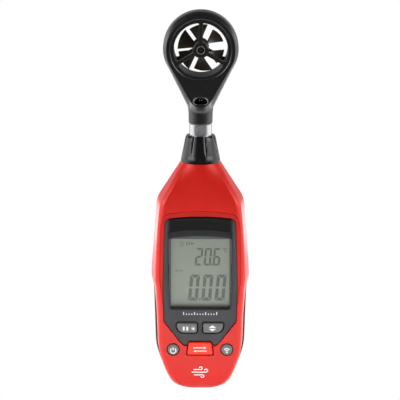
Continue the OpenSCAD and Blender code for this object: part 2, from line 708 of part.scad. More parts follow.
// One helical blade between the hub and the tip
// Turn of the impeller at rest
rest_turn = 54;
blade_rows = 8;
blade_cols = 4;
function blade_turn(r) = 360 / blade_count - blade_space / r * 57.3;
function blade_point(i, j, s) =
    let (y = -blade_half + 2 * blade_half * i / blade_rows,
        r = rotor_hub - 0.5 + (blade_tip - rotor_hub + 0.5) * j / blade_cols,
        taper = 1 - 0.35 * j / blade_cols,
        a = blade_turn(r) * (i / blade_rows - 0.5) + s * blade_thickness * taper * 28.6 / r)
    [r * sin(a), y, r * cos(a)];
module blade() {
    n = blade_cols + 1;
    rows = [for (i = [0 : blade_rows]) concat([for (j = [0 : blade_cols]) blade_point(i, j, 1)],
        [for (j = [blade_cols : -1 : 0]) blade_point(i, j, -1)])];
    strip(rows);
}
module strip(rows) {
    n = len(rows[0]);
    m = len(rows);
    points = [for (r = rows) for (q = r) q];
    skin = [for (i = [0 : m - 2]) for (j = [0 : n - 1]) for (k = [0 : 1])
        let (a = i * n + j, b = i * n + (j + 1) % n) k == 0 ? [a, b, b + n] : [a, b + n, a + n]];
    half = n / 2;
    ends = [for (j = [0 : half - 2]) for (k = [0 : 1])
        k == 0 ? [j, n - 1 - j, n - 2 - j] : [j, n - 2 - j, j + 1]];
    last = (m - 1) * n;
    far = [for (f = ends) [last + f[0], last + f[2], last + f[1]]];
    polyhedron(points, concat(skin, ends, far));
}
module impeller() {
    color([0.08, 0.08, 0.08]) translate([0, 0, head_z])
    difference() {
        union() {
            along_y(rotor_hub, -rotor_half, rotor_half);
            for (k = [0 : blade_count - 1]) {
                rotate([0, rest_turn + 360 * k / blade_count, 0]) blade();
            }
        }
        along_y(shaft_radius + 0.02, -rotor_half - 1, rotor_half + 1);
    }
}
module vane_shaft() {
    color([0.7, 0.7, 0.72]) along_y(shaft_radius, -head_half_depth + 0.6, head_half_depth - 0.6, 0, head_z);
}
module pickup_sensor() {
    color([0.15, 0.1, 0.2]) union() {
        block(-2.6, 2.6, -2.4, 2.4, pickup_foot + 0.02, pickup_top);
        along_z(1.1, pickup_top - 0.5, head_z - duct_radius - 0.2);
    }
}
module thermistor() {
    color([0.05, 0.05, 0.06]) union() {
        translate([0, bead_y, bead_z]) sphere(r = 1.25);
        for (s = [-1, 1]) {
            along_y(0.25, bead_y + 0.4, -lead_radius - 0.02, s * 0.5, bead_z);
        }
    }
}

module case_screw() {
    difference() {
        union() {
            along_y(1.9, case_head_y - 1.8, case_head_y);
            along_y(case_screw_radius, inner_y + 3, case_head_y - 1);
        }
        block(-1.2, 1.2, case_head_y - 0.8, case_head_y + 1, -0.25, 0.25);
        block(-0.25, 0.25, case_head_y - 0.8, case_head_y + 1, -1.2, 1.2);
    }
}
module case_screws() {
    color([0.3, 0.3, 0.32]) for (s = [-1, 1]) {
        translate([s * case_top[0], 0, case_top[1]]) case_screw();
        translate([s * case_foot[0], 0, case_foot[1]]) case_screw();
    }
}
module board_screw() {
    difference() {
        union() {
            along_y(1.8, board_back, board_back + 1.2);
            along_y(board_screw_radius, inner_y + 1.2, board_back + 0.5);
        }
        block(-1.2, 1.2, board_back + 0.6, board_back + 2, -0.2, 0.2);
        block(-0.2, 0.2, board_back + 0.6, board_back + 2, -1.2, 1.2);
    }
}
module board_screws() {
    color([0.75, 0.75, 0.76]) for (s = [-1, 1]) {
        translate([s * board_top[0], 0, board_top[1]]) board_screw();
        translate([s * board_foot[0], 0, board_foot[1]]) board_screw();
    }
}
module head_screws() {
    color([0.3, 0.3, 0.32]) for (s = [-1, 1]) {
        translate([s * head_screw[0], 0, head_screw[1]]) difference() {
            union() {
                along_y(1.6, 4, 5.4);
                along_y(head_screw_radius, -5.6, 4.5);
            }
            block(-1, 1, 4.8, 6, -0.2, 0.2);
            block(-0.2, 0.2, 4.8, 6, -1, 1);
        }
    }
}
module tripod_insert() {
    color([0.8, 0.65, 0.3]) translate([0, 0, insert_z])
    difference() {
        along_y(insert_radius, insert_back - insert_length + 0.05, insert_back);
        along_y(insert_bore, insert_back - insert_length - 1, insert_back + 1);
    }
}

// Cells one and three stand with the nub up, the middle one with the nub down
low_cell = bay_foot + plate_thick + spring_length + 0.1;
high_cell = bay_foot + plate_thick + bump + 0.1;
module cell(x, z0, up) {
    body_foot = up ? z0 : z0 + 1.0;
    nub_foot = up ? z0 + cell_length - 1.5 : z0;
    along_z(cell_radius, body_foot, body_foot + cell_length - 1.0, x, cell_y);
    along_z(1.9, nub_foot, nub_foot + 1.5, x, cell_y);
}
module battery_cells() {
    color([0.2, 0.35, 0.5]) {
        cell(-cell_pitch, low_cell, true);
        cell(0, high_cell, false);
        cell(cell_pitch, low_cell, true);
    }
}
module contact(x, z, bump_up) {
    block(x - 4.4, x + 4.4, cell_y - 4.2, cell_y + 4.2, z, z + plate_thick);
    if (bump_up > 0) {
        along_z(2.2, z + 0.1, z + plate_thick + bump, x, cell_y);
    }
    if (bump_up < 0) {
        along_z(2.2, z - bump, z + 0.1, x, cell_y);
    }
}
module contact_plates() {
    color([0.8, 0.8, 0.78]) {
        contact(-cell_pitch, bay_foot, 0);
        contact(0, bay_foot, 1);
        contact(cell_pitch, bay_foot, 0);
        contact(-cell_pitch, bay_head - plate_thick, -1);
        contact(0, bay_head - plate_thick, 0);
        contact(cell_pitch, bay_head - plate_thick, -1);
    }
}

// Coil contact springs
wire = 0.35;
coil_turns = 3.5;
coil_steps = 42;
wire_sides = 6;
coil_pitch = (spring_length - 2 * wire) / coil_turns;
echo(str("gap between the turns of a spring ", coil_pitch - 2 * wire));
function coil_row(i, z0, up) =
    let (f = i / coil_steps, a = 360 * coil_turns * f, r = 3.6 - 1.1 * f,
        z = wire + (spring_length - 2 * wire) * f)
    [for (k = [0 : wire_sides - 1]) let (b = 360 * k / wire_sides, q = r + wire * cos(b),
        h = z + wire * sin(b))
        [q * cos(a), (up ? 1 : -1) * q * sin(a), z0 + (up ? h : spring_length - h)]];
module coil(x, z0, up) {
    translate([x, cell_y, 0]) loft([for (i = [0 : coil_steps]) coil_row(i, z0, up)]);
}
module battery_springs() {
    color([0.82, 0.82, 0.8]) {
        coil(-cell_pitch, bay_foot + plate_thick, true);
        coil(0, bay_head - plate_thick - spring_length, false);
        coil(cell_pitch, bay_foot + plate_thick, true);
    }
}

front_shell();
rear_shell();
battery_door();
bezel();
lens();
lcd_panel();
backlight_panel();
zebra_strip();
keypad_mat();
dome_switches();
key_hold();
key_max_min();
key_units();
key_power();
key_wireless();
pcb();
controller_chip();
radio_module();
lead_socket();
sensor_lead();
collar();
neck_tube();
neck_sleeve();
head_front();
head_rear();
front_spider();
rear_spider();
front_bearing();
rear_bearing();
impeller();
vane_shaft();
pickup_sensor();
thermistor();
case_screws();
board_screws();
head_screws();
tripod_insert();
battery_cells();
contact_plates();
battery_springs();
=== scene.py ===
"""Handheld weather meter: smooth shapes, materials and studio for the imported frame."""
import math

import bmesh
import bpy
import numpy as np
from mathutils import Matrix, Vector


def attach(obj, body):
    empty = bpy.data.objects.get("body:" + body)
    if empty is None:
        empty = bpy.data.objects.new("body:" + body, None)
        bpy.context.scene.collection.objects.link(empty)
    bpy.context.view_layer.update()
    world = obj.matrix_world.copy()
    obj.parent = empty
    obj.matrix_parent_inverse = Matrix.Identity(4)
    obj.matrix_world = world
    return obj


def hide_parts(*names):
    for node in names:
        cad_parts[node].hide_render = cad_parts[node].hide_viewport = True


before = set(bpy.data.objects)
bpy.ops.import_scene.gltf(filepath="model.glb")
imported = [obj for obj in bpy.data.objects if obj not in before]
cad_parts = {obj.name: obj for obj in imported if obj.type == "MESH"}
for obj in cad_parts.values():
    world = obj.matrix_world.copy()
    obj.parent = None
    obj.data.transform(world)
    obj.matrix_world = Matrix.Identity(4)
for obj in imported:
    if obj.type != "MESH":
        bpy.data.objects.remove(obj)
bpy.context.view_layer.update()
scene = bpy.context.scene
scene.view_settings.view_transform = "Standard"
SIN, COS, PI = math.sin, math.cos, math.pi


# Curves and outlines in millimetres
def curve(table):
    """Smooth curve through a table of pairs that never overshoots."""
    x = np.array([p[0] for p in table], float)
    y = np.array([p[1] for p in table], float)
    h = np.diff(x)
    d = np.diff(y) / h
    m = np.zeros(len(x))
    m[0], m[-1] = d[0], d[-1]
    for i in range(1, len(x) - 1):
        if d[i - 1] * d[i] > 0:
            a, b = 2 * h[i] + h[i - 1], h[i] + 2 * h[i - 1]
            m[i] = (a + b) / (a / d[i - 1] + b / d[i])

    def value(q):
        q = min(max(q, x[0]), x[-1])
        i = min(max(int(np.searchsorted(x, q, side="right")) - 1, 0), len(h) - 1)
        t = (q - x[i]) / h[i]
        s = 1 - t
        return ((1 + 2 * t) * s * s * y[i] + t * s * s * h[i] * m[i]
                + t * t * (3 - 2 * t) * y[i + 1] - t * t * s * h[i] * m[i + 1])
    return value


def rounded(corners, n=9):
    """Outline of (x, z, radius) corners, each rounded by its radius."""
    out = []
    for i, (px, pz, r) in enumerate(corners):
        p = np.array([px, pz], float)
        if r <= 0:
            out.append(p)
            continue
        u = np.array(corners[i - 1][:2], float) - p
        v = np.array(corners[(i + 1) % len(corners)][:2], float) - p
        u /= np.linalg.norm(u)
        v /= np.linalg.norm(v)
        g = math.acos(float(np.clip(u @ v, -1, 1)))
        q, w = p + u * r / math.tan(g / 2), p + v * r / math.tan(g / 2)
        c = p + (u + v) / np.linalg.norm(u + v) * r / SIN(g / 2)
        s = math.atan2(*(q - c)[::-1])
        e = math.atan2(*(w - c)[::-1])
        d = (e - s + 5 * PI) % (2 * PI) - PI
        out += [c + r * np.array([COS(s + d * k / n), SIN(s + d * k / n)]) for k in range(n + 1)]
    return np.array(out)


def both(half):
    """Closed outline from its right half, given from the top down."""
    return list(half) + [(-x, z, r) for x, z, r in reversed(half)]


def mirrored(outline):
    return [(-x, z) for x, z in outline[::-1]]


def bar(x0, x1, z0, z1):
    return [(x0, z0), (x1, z0), (x1, z1), (x0, z1)]


def pill(x0, x1, z0, z1, r, n=9):
    """Rectangle with all corners rounded."""
    return rounded([(x, z, r) for x, z in bar(x0, x1, z0, z1)], n)


def compass(n):
    """Points of a unit circle."""
    return [(COS(2 * PI * k / n), SIN(2 * PI * k / n)) for k in range(n)]


def circle(x, z, r, n=48):
    return np.array([(x + r * a, z + r * b) for a, b in compass(n)])


def offset(outline, d):
    """Outline moved outwards by d along its own normals."""
    p = np.array(outline, float)
    turn = np.sum(p[:, 0] * np.roll(p[:, 1], -1) - np.roll(p[:, 0], -1) * p[:, 1])
    e = np.roll(p, -1, 0) - p
    e /= np.maximum(np.linalg.norm(e, axis=1), 1e-9)[:, None]
    n = np.stack([e[:, 1], -e[:, 0]], 1) * (1 if turn > 0 else -1)
    m = n + np.roll(n, 1, 0)
    m /= np.maximum(np.linalg.norm(m, axis=1), 1e-9)[:, None]
    return p + m * (d / np.maximum(np.sum(m * n, 1), 0.5))[:, None]


def inset(corners, d):
    """Corner list moved inwards by d, with smaller radii."""
    p = offset([(x, z) for x, z, r in corners], -d)
    return rounded([(x, z, max(r - d, 0.06) if r else 0) for (x, z), (_, _, r) in zip(p, corners)])


# Solids as pairs of points and faces
ROUND_STEPS = 5


def loft(rows):
    """Closed solid through rows of points."""
    n, m = len(rows[0]), len(rows)
    verts = [tuple(q) for r in rows for q in r]
    faces = [(i * n + j, i * n + (j + 1) % n, (i + 1) * n + (j + 1) % n, (i + 1) * n + j)
             for i in range(m - 1) for j in range(n)]
    return verts, faces + [tuple(range(n))[::-1], tuple(range((m - 1) * n, m * n))]


def wrapped(rows):
    """Closed solid through rows that come round to the first one."""
    n, m = len(rows), len(rows[0])
    faces = [(i * m + j, (i + 1) % n * m + j, (i + 1) % n * m + (j + 1) % m, i * m + (j + 1) % m)
             for i in range(n) for j in range(m)]
    return [q for r in rows for q in r], faces


def stack(levels):
    """Solid through (outline, y) levels along the depth."""
    return loft([[(x, y, z) for x, z in o] for o, y in levels])


def arc(r):
    """Steps of a quarter round as (inset, depth)."""
    turns = [PI / 2 * k / ROUND_STEPS for k in range(ROUND_STEPS + 1)]
    return [(r - r * SIN(a), r - r * COS(a)) for a in turns]


def plate(outline, y0, y1, front=0.0, back=0.0):
    """Plate from y0 to y1 with rounded front and back edges."""
    levels = [(offset(outline, -i), y0 + d) for i, d in arc(front)] if front else [(outline, y0)]
    levels += [(offset(outline, -i), y1 - d) for i, d in arc(back)[::-1]] if back else [(outline, y1)]
    return stack(levels)


def cutter(outline, face, end, edge=0.25, s=1):
    """Tool that cuts from the face to end and leaves a rounded edge at the face."""
    last = math.acos(max(0.0, 1 - abs(end - face) / edge))
    wide = edge * SIN(last)
    mouth = offset(outline, wide * 1.02)
    levels = [(mouth, face - 2 * s), (mouth, face - 0.004 * s)]
    for k in range(1, ROUND_STEPS + 1):
        a = last * k / ROUND_STEPS
        levels.append((offset(outline, wide - edge * SIN(a)), face + s * (edge - edge * COS(a))))
    return stack(levels + ([(outline, end)] if edge < abs(end - face) else []))


def lathe(profile, n=96, x=0.0, y=0.0):
    """Solid of a closed (radius, height) profile turned about an upright axis."""
    return wrapped([[(x + r * a, y + r * b, h) for r, h in profile] for a, b in compass(n)])


def spun(profile, n):
    """Solid of a (radius, depth) profile turned about the duct's axis."""
    return wrapped([[(r * a, y, HZ + r * b) for r, y in profile] for a, b in compass(n)])


def drill(r, z0, z1, n=96):
    """Upright round tool on the axis of the part."""
    return lathe([(0.001, z0), (r, z0), (r, z1), (0.001, z1)], n)


def tube(path, radius, sides=10):
    """Round bar along a path of points that starts out level."""
    p = np.array(path, float)
    t = np.gradient(p, axis=0)
    t /= np.linalg.norm(t, axis=1)[:, None]
    up = np.array([0.0, 0.0, 1.0])
    rows = []
    for q, d in zip(p, t):
        up = up - d * (up @ d)
        up /= np.linalg.norm(up)
        side = np.cross(d, up)
        rows.append([tuple(q + radius * (a * up + b * side)) for a, b in compass(sides)])
    return loft(rows)


def box(x0, x1, y0, y1, z0, z1):
    return stack([(bar(x0, x1, z0, z1), y) for y in (y0, y1)])


def merged(*solids):
    """One list of points and faces from separate solids."""
    verts, faces = [], []
    for v, f in solids:
        k = len(verts)
        verts += list(v)
        faces += [tuple(i + k for i in face) for face in f]
    return verts, faces


# Mesh objects, built in millimetres and set into the frame in metres
def solid(shape):
    """Mesh object of one solid, with its faces turned outwards."""
    mesh = bpy.data.meshes.new("work")
    mesh.from_pydata([tuple(v) for v in shape[0]], [], shape[1])
    bm = bmesh.new()
    bm.from_mesh(mesh)
    bmesh.ops.remove_doubles(bm, verts=bm.verts, dist=1e-5)
    bmesh.ops.recalc_face_normals(bm, faces=bm.faces)
    bm.to_mesh(mesh)
    bm.free()
    obj = bpy.data.objects.new("work", mesh)
    scene.collection.objects.link(obj)
    return obj


def combine(base, how, *parts):
    """Boolean of base with other solids, which are taken as one."""
    other = solid(merged(*parts))
    mod = base.modifiers.new("combine", "BOOLEAN")
    mod.operation, mod.object, mod.solver = how, other, "MANIFOLD"
    graph = bpy.context.evaluated_depsgraph_get()
    mesh = bpy.data.meshes.new_from_object(base.evaluated_get(graph))
    base.modifiers.clear()
    old, spare = base.data, other.data
    base.data = mesh
    bpy.data.objects.remove(other)
    bpy.data.meshes.remove(old)
    bpy.data.meshes.remove(spare)


def cut(base, *parts):
    combine(base, "DIFFERENCE", *parts)


def join(base, *parts):
    combine(base, "UNION", *parts)


def publish(work, name, material, body="handle", nodes=(), angle=32, pick=None):
    """Turn a working solid into a piece of the part."""
    obj = work if isinstance(work, bpy.types.Object) else solid(work)
    obj.name = obj.data.name = name
    obj.data.materials.clear()
    for m in material if isinstance(material, (list, tuple)) else [material]:
        obj.data.materials.append(m)
    bm = bmesh.new()
    bm.from_mesh(obj.data)
    for f in bm.faces:
        f.material_index = pick(f.calc_center_median()) if pick else 0
    bmesh.ops.scale(bm, vec=(0.001, 0.001, 0.001), verts=bm.verts)
    bm.to_mesh(obj.data)
    bm.free()
    obj.data.shade_smooth()
    obj.data.set_sharp_from_angle(angle=math.radians(angle))
    mod = obj.modifiers.new("normals", "WEIGHTED_NORMAL")
    mod.keep_sharp = True
    mod.weight = 80
    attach(obj, body)
    if nodes:
        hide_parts(*nodes)
    return obj


# Materials
NOISE_ENDS = (0.3, 0.7)
RELIEF_DEPTH = 0.0004


def fill(n, **sockets):
    """Node with values set in its sockets."""
    for key, value in sockets.items():
        n.inputs[key.replace("_", " ")].default_value = value
    return n


def span(nt, value, a, b, x, y, way="SMOOTHSTEP"):
    """Step of a value from x at a to y at b."""
    n = fill(nt.nodes.new("ShaderNodeMapRange"), From_Min=a, From_Max=b, To_Min=x, To_Max=y)
    n.interpolation_type = way
    nt.links.new(value, n.inputs["Value"])
    return n.outputs["Result"]


def calc(nt, how, *values):
    """Sum, product or other result of sockets, taken one after the other."""
    total = values[0]
    for v in values[1:] or [None]:
        n = nt.nodes.new("ShaderNodeMath")
        n.operation = how
        nt.links.new(total, n.inputs[0])
        if v is not None:
            nt.links.new(v, n.inputs[1])
        total = n.outputs[0]
    return total


def split(nt, kind):
    """The three coordinates of a place."""
    n = nt.nodes.new("ShaderNodeSeparateXYZ")
    nt.links.new(nt.nodes.new("ShaderNodeTexCoord").outputs[kind], n.inputs["Vector"])
    return n.outputs["X"], n.outputs["Y"], n.outputs["Z"]


def finish(name, colour, rough, spread, tone, grain, bump, fleck, painted_light=None, stretch=(1, 1, 1), **sockets):
    """Moulded or metal surface with cloudy tone, uneven gloss and a fine grain.

    Optional steps of painted light and shade, each (axis, from, to, level, level) in metres, scale the colour
    by their greatest level.
    """
    mat = bpy.data.materials.new(name)
    mat.use_nodes = True
    nt = mat.node_tree
    bsdf = nt.nodes["Principled BSDF"]
    mapping = fill(nt.nodes.new("ShaderNodeMapping"), Scale=stretch)
    nt.links.new(nt.nodes.new("ShaderNodeTexCoord").outputs["Object"], mapping.inputs["Vector"])
    cloud = fill(nt.nodes.new("ShaderNodeTexNoise"), Scale=fleck, Detail=4)
    fine = fill(nt.nodes.new("ShaderNodeTexNoise"), Scale=grain, Detail=3)
    for n in (cloud, fine):
        nt.links.new(mapping.outputs["Vector"], n.inputs["Vector"])
    shade = nt.nodes.new("ShaderNodeValToRGB")
    low = [c * (1 - tone) for c in colour]
    high = [min(1, c * (1 + tone)) for c in colour]
    for stop, at, c in zip(shade.color_ramp.elements, NOISE_ENDS, (low, high)):
        stop.position = at
        stop.color = (*c, 1)
    nt.links.new(cloud.outputs["Fac"], shade.inputs["Fac"])
    tint = shade.outputs["Color"]
    # Painted light and shade: the colour is scaled by place
    if painted_light:
        axes = dict(zip("XYZ", split(nt, "Object")))
        levels = [span(nt, calc(nt, "ABSOLUTE", axes[axis]), *ends) for axis, *ends in painted_light]
        scale = nt.nodes.new("ShaderNodeVectorMath")
        scale.operation = "SCALE"
        nt.links.new(tint, scale.inputs[0])
        nt.links.new(calc(nt, "MAXIMUM", *levels) if levels[1:] else levels[0], scale.inputs["Scale"])
        tint = scale.outputs["Vector"]
    nt.links.new(tint, bsdf.inputs["Base Color"])
    least, most = max(0.02, rough - spread), min(1, rough + spread)
    nt.links.new(span(nt, fine.outputs["Fac"], *NOISE_ENDS, least, most, "LINEAR"), bsdf.inputs["Roughness"])
    relief = fill(nt.nodes.new("ShaderNodeBump"), Strength=bump, Distance=RELIEF_DEPTH)
    nt.links.new(fine.outputs["Fac"], relief.inputs["Height"])
    nt.links.new(relief.outputs["Normal"], bsdf.inputs["Normal"])
    fill(bsdf, **sockets)
    return mat


def srgb(r, g, b):
    """Linear colour of an 8-bit display colour."""
    return tuple(c / 12.92 / 255 if c <= 10 else ((c / 255 + 0.055) / 1.055) ** 2.4 for c in (r, g, b))


# Each finish has a colour, roughness and its spread, spread of tone, grain, bump and scale of clouds
# Red plastic colour, darkened to 0.84 in the strip between the recess brow and the top of the bezel: painted
# shade
RED = finish("red_abs", srgb(198, 23, 9), 0.4, 0.05, 0.04, 2600, 0.02, 90, Specular_IOR_Level=0.42,
             painted_light=[("X", 0.016, 0.0176, 0.84, 1), ("Z", 0.0843, 0.0856, 0.84, 1),
                   ("Z", 0.0795, 0.082, 1, 0.84)])
BLACK = finish("black_abs", srgb(38, 38, 40), 0.42, 0.08, 0.1, 2200, 0.12, 90)
# Bezel grey, darkened to 0.07 on the upper slope of the well inside the window: painted shade
BEZEL = finish("bezel_abs", srgb(68, 68, 70), 0.5, 0.06, 0.08, 2400, 0.1, 90, Specular_IOR_Level=0.1,
               painted_light=[("X", 0.0134, 0.0158, 0.07, 1), ("Z", 0.0735, 0.0755, 1, 0.07)])
KEY = finish("key_silicone", srgb(98, 98, 97), 0.55, 0.06, 0.08, 2400, 0.12, 120)
RED_KEY = finish("red_key_silicone", srgb(236, 46, 20), 0.45, 0.06, 0.05, 2400, 0.08, 120)
HEAD = finish("head_abs", srgb(19, 19, 19), 0.34, 0.06, 0.12, 2600, 0.1, 90, Specular_IOR_Level=0.8)
GLOSS = finish("gloss_black_abs", srgb(20, 20, 20), 0.2, 0.04, 0.15, 1500, 0.01, 60, Specular_IOR_Level=0.4)
VANE = finish("vane_nylon", srgb(68, 58, 50), 0.6, 0.08, 0.15, 2200, 0.08, 120, Specular_IOR_Level=0.2)
BRONZE = finish("bearing_bronze", srgb(140, 128, 114), 0.36, 0.08, 0.1, 2500, 0.06, 300, Metallic=0.35)
DUCT = finish("duct_abs", srgb(36, 36, 36), 0.5, 0.06, 0.12, 2600, 0.1, 90, Specular_IOR_Level=0.8)
STEEL = finish("tube_metal", srgb(197, 198, 201), 0.16, 0.06, 0.05, 1800, 0.03, 140, stretch=(1, 1, 0.03),
               Metallic=0.75)
BRASS = finish("brass", srgb(196, 172, 120), 0.3, 0.08, 0.1, 2500, 0.06, 300, Metallic=1.0)
SCREW = finish("screw_steel", srgb(120, 120, 124), 0.34, 0.1, 0.12, 2500, 0.08, 300, Metallic=1.0)
TIN = finish("tin_plate", srgb(205, 204, 198), 0.28, 0.08, 0.08, 2500, 0.05, 300, Metallic=1.0)
BOARD = finish("solder_mask", srgb(14, 92, 44), 0.35, 0.08, 0.2, 1200, 0.06, 400, Coat_Weight=0.4)
RESIN = finish("chip_resin", srgb(30, 30, 32), 0.6, 0.08, 0.15, 3000, 0.15, 200)
IVORY = finish("ivory_nylon", srgb(226, 220, 200), 0.5, 0.06, 0.06, 2500, 0.08, 150)
GUIDE = finish("light_guide", srgb(232, 234, 226), 0.4, 0.06, 0.05, 1500, 0.1, 150)
PINK = finish("zebra_rubber", srgb(196, 130, 138), 0.7, 0.06, 0.25, 2500, 0.1, 500, stretch=(6, 1, 0.1))
MAT = finish("mat_silicone", srgb(128, 128, 132), 0.65, 0.06, 0.08, 2500, 0.1, 150)
JACKET = finish("lead_jacket", srgb(30, 30, 30), 0.55, 0.06, 0.15, 2500, 0.1, 200)
PRINT = finish("white_print", srgb(222, 222, 224), 0.55, 0.05, 0.04, 3000, 0.05, 300)
BEAD = finish("bead_resin", srgb(16, 16, 18), 0.22, 0.05, 0.2, 2500, 0.03, 300)


# Handle sections against height
BACK = 14.2
SIDE = [(49.5, 22.0), (51.5, 22.5), (53.3, 22.65), (55, 22.6), (58, 22.45), (62, 22.15), (69.2, 21.65),
        (76.6, 21.15), (83, 20.6), (86, 20.3), (88, 20.0), (89.5, 19.6), (91, 18.9), (92.7, 17.85),
        (95.6, 16.0), (98, 14.45), (101.2, 12.4), (104, 10.6), (106.2, 9.2)]
red_width = curve([(0, 4.5), (0.25, 6.8), (0.7, 8.9), (1.6, 11.3), (3, 13.2), (5, 14.7), (7, 15.75),
                   (10, 17), (13, 18.1), (15.7, 18.95), (18.3, 19.55), (21, 19.9), (26, 20.1), (34, 20.35),
                   (38, 20.6), (43, 21), (47, 21.45)] + SIDE)
black_width = curve([(0, 4.5), (0.25, 7), (0.7, 9.2), (1.6, 11.7), (3, 13.7), (5, 15.2), (7, 16.3),
                     (10, 17.65), (13, 18.8), (15.7, 19.65), (18.3, 20.3), (21, 20.65), (26, 20.85),
                     (34, 21.05), (38, 21.2), (43, 21.35), (47, 21.6)] + SIDE)
red_lean = curve([(0, 1.2), (10, 1.1), (26, 0.95), (44, 1.3), (53.3, 2.35), (69, 1.9), (86, 1.9), (95, 1.6),
                  (102, 1.1), (106.2, 0.9)])
black_lean = curve([(0, 1.6), (8, 2.3), (20, 2.0), (40, 2.2), (53.3, 2.65), (69, 2.0), (86, 1.9), (95, 1.6),
                    (102, 1.1), (106.2, 0.9)])
front_depth = curve([(0, 9.0), (0.5, 10.4), (1.5, 11.5), (3, 12.4), (5, 13.0), (8, 13.4), (12, 13.6),
                     (80, 13.6), (84, 13.52), (88, 13.3), (91, 12.95), (95, 12.3), (100, 11.1), (104, 9.8),
                     (106.2, 9.1)])
back_depth = curve([(0, 10.2), (0.5, 12.0), (1.5, 13.2), (3, 13.9), (5, BACK), (89, BACK), (91, 13.7),
                    (95, 12.7), (100, 11.1), (104, 9.8), (106.2, 9.1)])
crown = curve([(0, 0), (88, 0), (91, 0.25), (95, 0.9), (98, 1.7), (101.2, 2.9), (104, 4.2), (106.2, 5.4)])
red_round = curve([(0, 3.4), (4, 2.8), (10, 2.5), (20, 2.6), (40, 2.8), (80, 2.7), (88, 2.6), (95, 2.5),
                   (106.2, 2.0)])
black_round = curve([(0, 4), (5, 3.2), (20, 3), (80, 3), (88, 2.8), (95, 2.2), (106.2, 1.5)])
WALL, FRONT_WALL, SEAM = 2.0, 3.0, 0.16
# Share of the turn and length of each step round a corner, for an even bend and for one with two flats
EVEN = [((k + 0.5) / 12, 1.41 / 12) for k in range(12)]
FACETS = [(0.06, 0.12), (0.16, 0.1), (0.25, 0.16), (0.3, 0.16), (0.345, 0.14), (0.43, 0.08), (0.51, 0.12),
          (0.555, 0.18), (0.605, 0.18), (0.69, 0.1), (0.8, 0.07), (0.93, 0.07)]


def section(z, back, wall, face, seam):
    """Row of points round one half of the handle at height z."""
    width, lean, depth, bend = ((black_width, black_lean, back_depth, black_round) if back
                                else (red_width, red_lean, front_depth, red_round))
    p = width(z) - wall
    c = p - lean(z)
    d = depth(z) - face
    r = max(0.8, min(bend(z), d - 0.2, (c - 0.4) / 0.87) - wall)
    fall = crown(z)
    edge = d - fall
    big = (c * c + fall * fall) / (2 * fall) if fall > 0.005 else 1e6
    dip = math.asin(c / big)
    a = math.atan2(p - c, edge)
    turn = PI / 2 - dip - a
    steps = [(-SIN(a + turn * f) * r * m, COS(a + turn * f) * r * m)
             for f, m in (EVEN if back or wall else FACETS)]
    dx, dy = sum(q[0] for q in steps), sum(q[1] for q in steps)
    den = -SIN(a) * SIN(dip) + COS(a) * COS(dip)
    down = (dx * SIN(dip) + dy * COS(dip)) / den
    inward = (-SIN(a) * dy - COS(a) * dx) / den
    x, y = c + down * SIN(a), edge - down * COS(a)
    flat = c - inward * COS(dip)
    half = [(p - SEAM, 0.0), (p - 0.02, SEAM)] if seam else [(p, -0.5)]
    half.append((x, y))
    for step in steps:
        x, y = x + step[0], y + step[1]
        half.append((x, y))
    half += [(flat * k, d - (big - math.sqrt(big * big - (flat * k) ** 2) if fall > 0.005 else 0))
             for k in (0.9, 0.8, 0.7, 0.6, 0.5, 0.4, 0.3, 0.2, 0.1)]
    s = 1 if back else -1
    return [(x, s * y, z) for x, y in half] + [(-x, s * y, z) for x, y in reversed(half)]


FOOT_STEPS = [0, 0.08, 0.16, 0.25, 0.4, 0.55, 0.7, 1, 1.3, 1.6, 2, 2.5, 3]
OUTER = np.concatenate([FOOT_STEPS, np.arange(3.6, 106, 0.6), [106.2]])
INNER = np.concatenate([np.arange(2, 97.8, 2.4), [98]])


def shell(back):
    """Hollow half of the handle."""
    work = solid(loft([section(z, back, 0, 0, True) for z in OUTER]))
    cut(work, loft([section(z, back, WALL, WALL if back else FRONT_WALL, False) for z in INNER]))
    return work


def rod(r, y0, y1, x, z, n=40, edge=0.0):
    """Round bar along the depth at x, z."""
    return plate(circle(x, z, r, n), y0, y1, edge, edge)


def slab(x, z0, z1, low, high):
    """Outline of a plate of half width x, with its lower and upper corner radii."""
    return rounded([(-x, z0, low), (x, z0, low), (x, z1, high), (-x, z1, high)])


# Depths of the front face, the recess, the bezel, its pocket and the wall behind
FACE, RECESS, BEZEL_Y, POCKET, INSIDE = -13.6, -13.1, -13.2, -11.6, -10.6
GROOVE = 0.22
recess = rounded(both([(0, 86.1, 0), (8.5, 85.7, 0), (16.9, 84.6, 3.6), (18.8, 78, 5), (18.95, 53, 6),
                       (17.6, 42, 4), (15.2, 34, 1), (7.6, 24, 0)]))[1:]


def bezel_outline(m):
    """Outline of the bezel with a margin m."""
    return rounded(both([(4, 82.75 + m, 0), (9, 82.45 + m, 0), (15.95 + m, 81.6 + m, 2.9),
                         (16.5 + m, 70.1, 0), (17.05 + m, 49, 0), (16.6 + m, 33.5 - m / 2, 2),
                         (8.9 + m / 2, 23.2 - m / 2, 3), (7.4, 22 - m, 2)]))


def lens_outline(m):
    """Outline of the window with a margin m."""
    return rounded(both([(5, 76.1 + m, 0), (14.7 + m, 74.9 + m, 0.8), (14.7 + m, 60.1, 0),
                         (13.9 + m, 38.85 - m, 1.6)]))


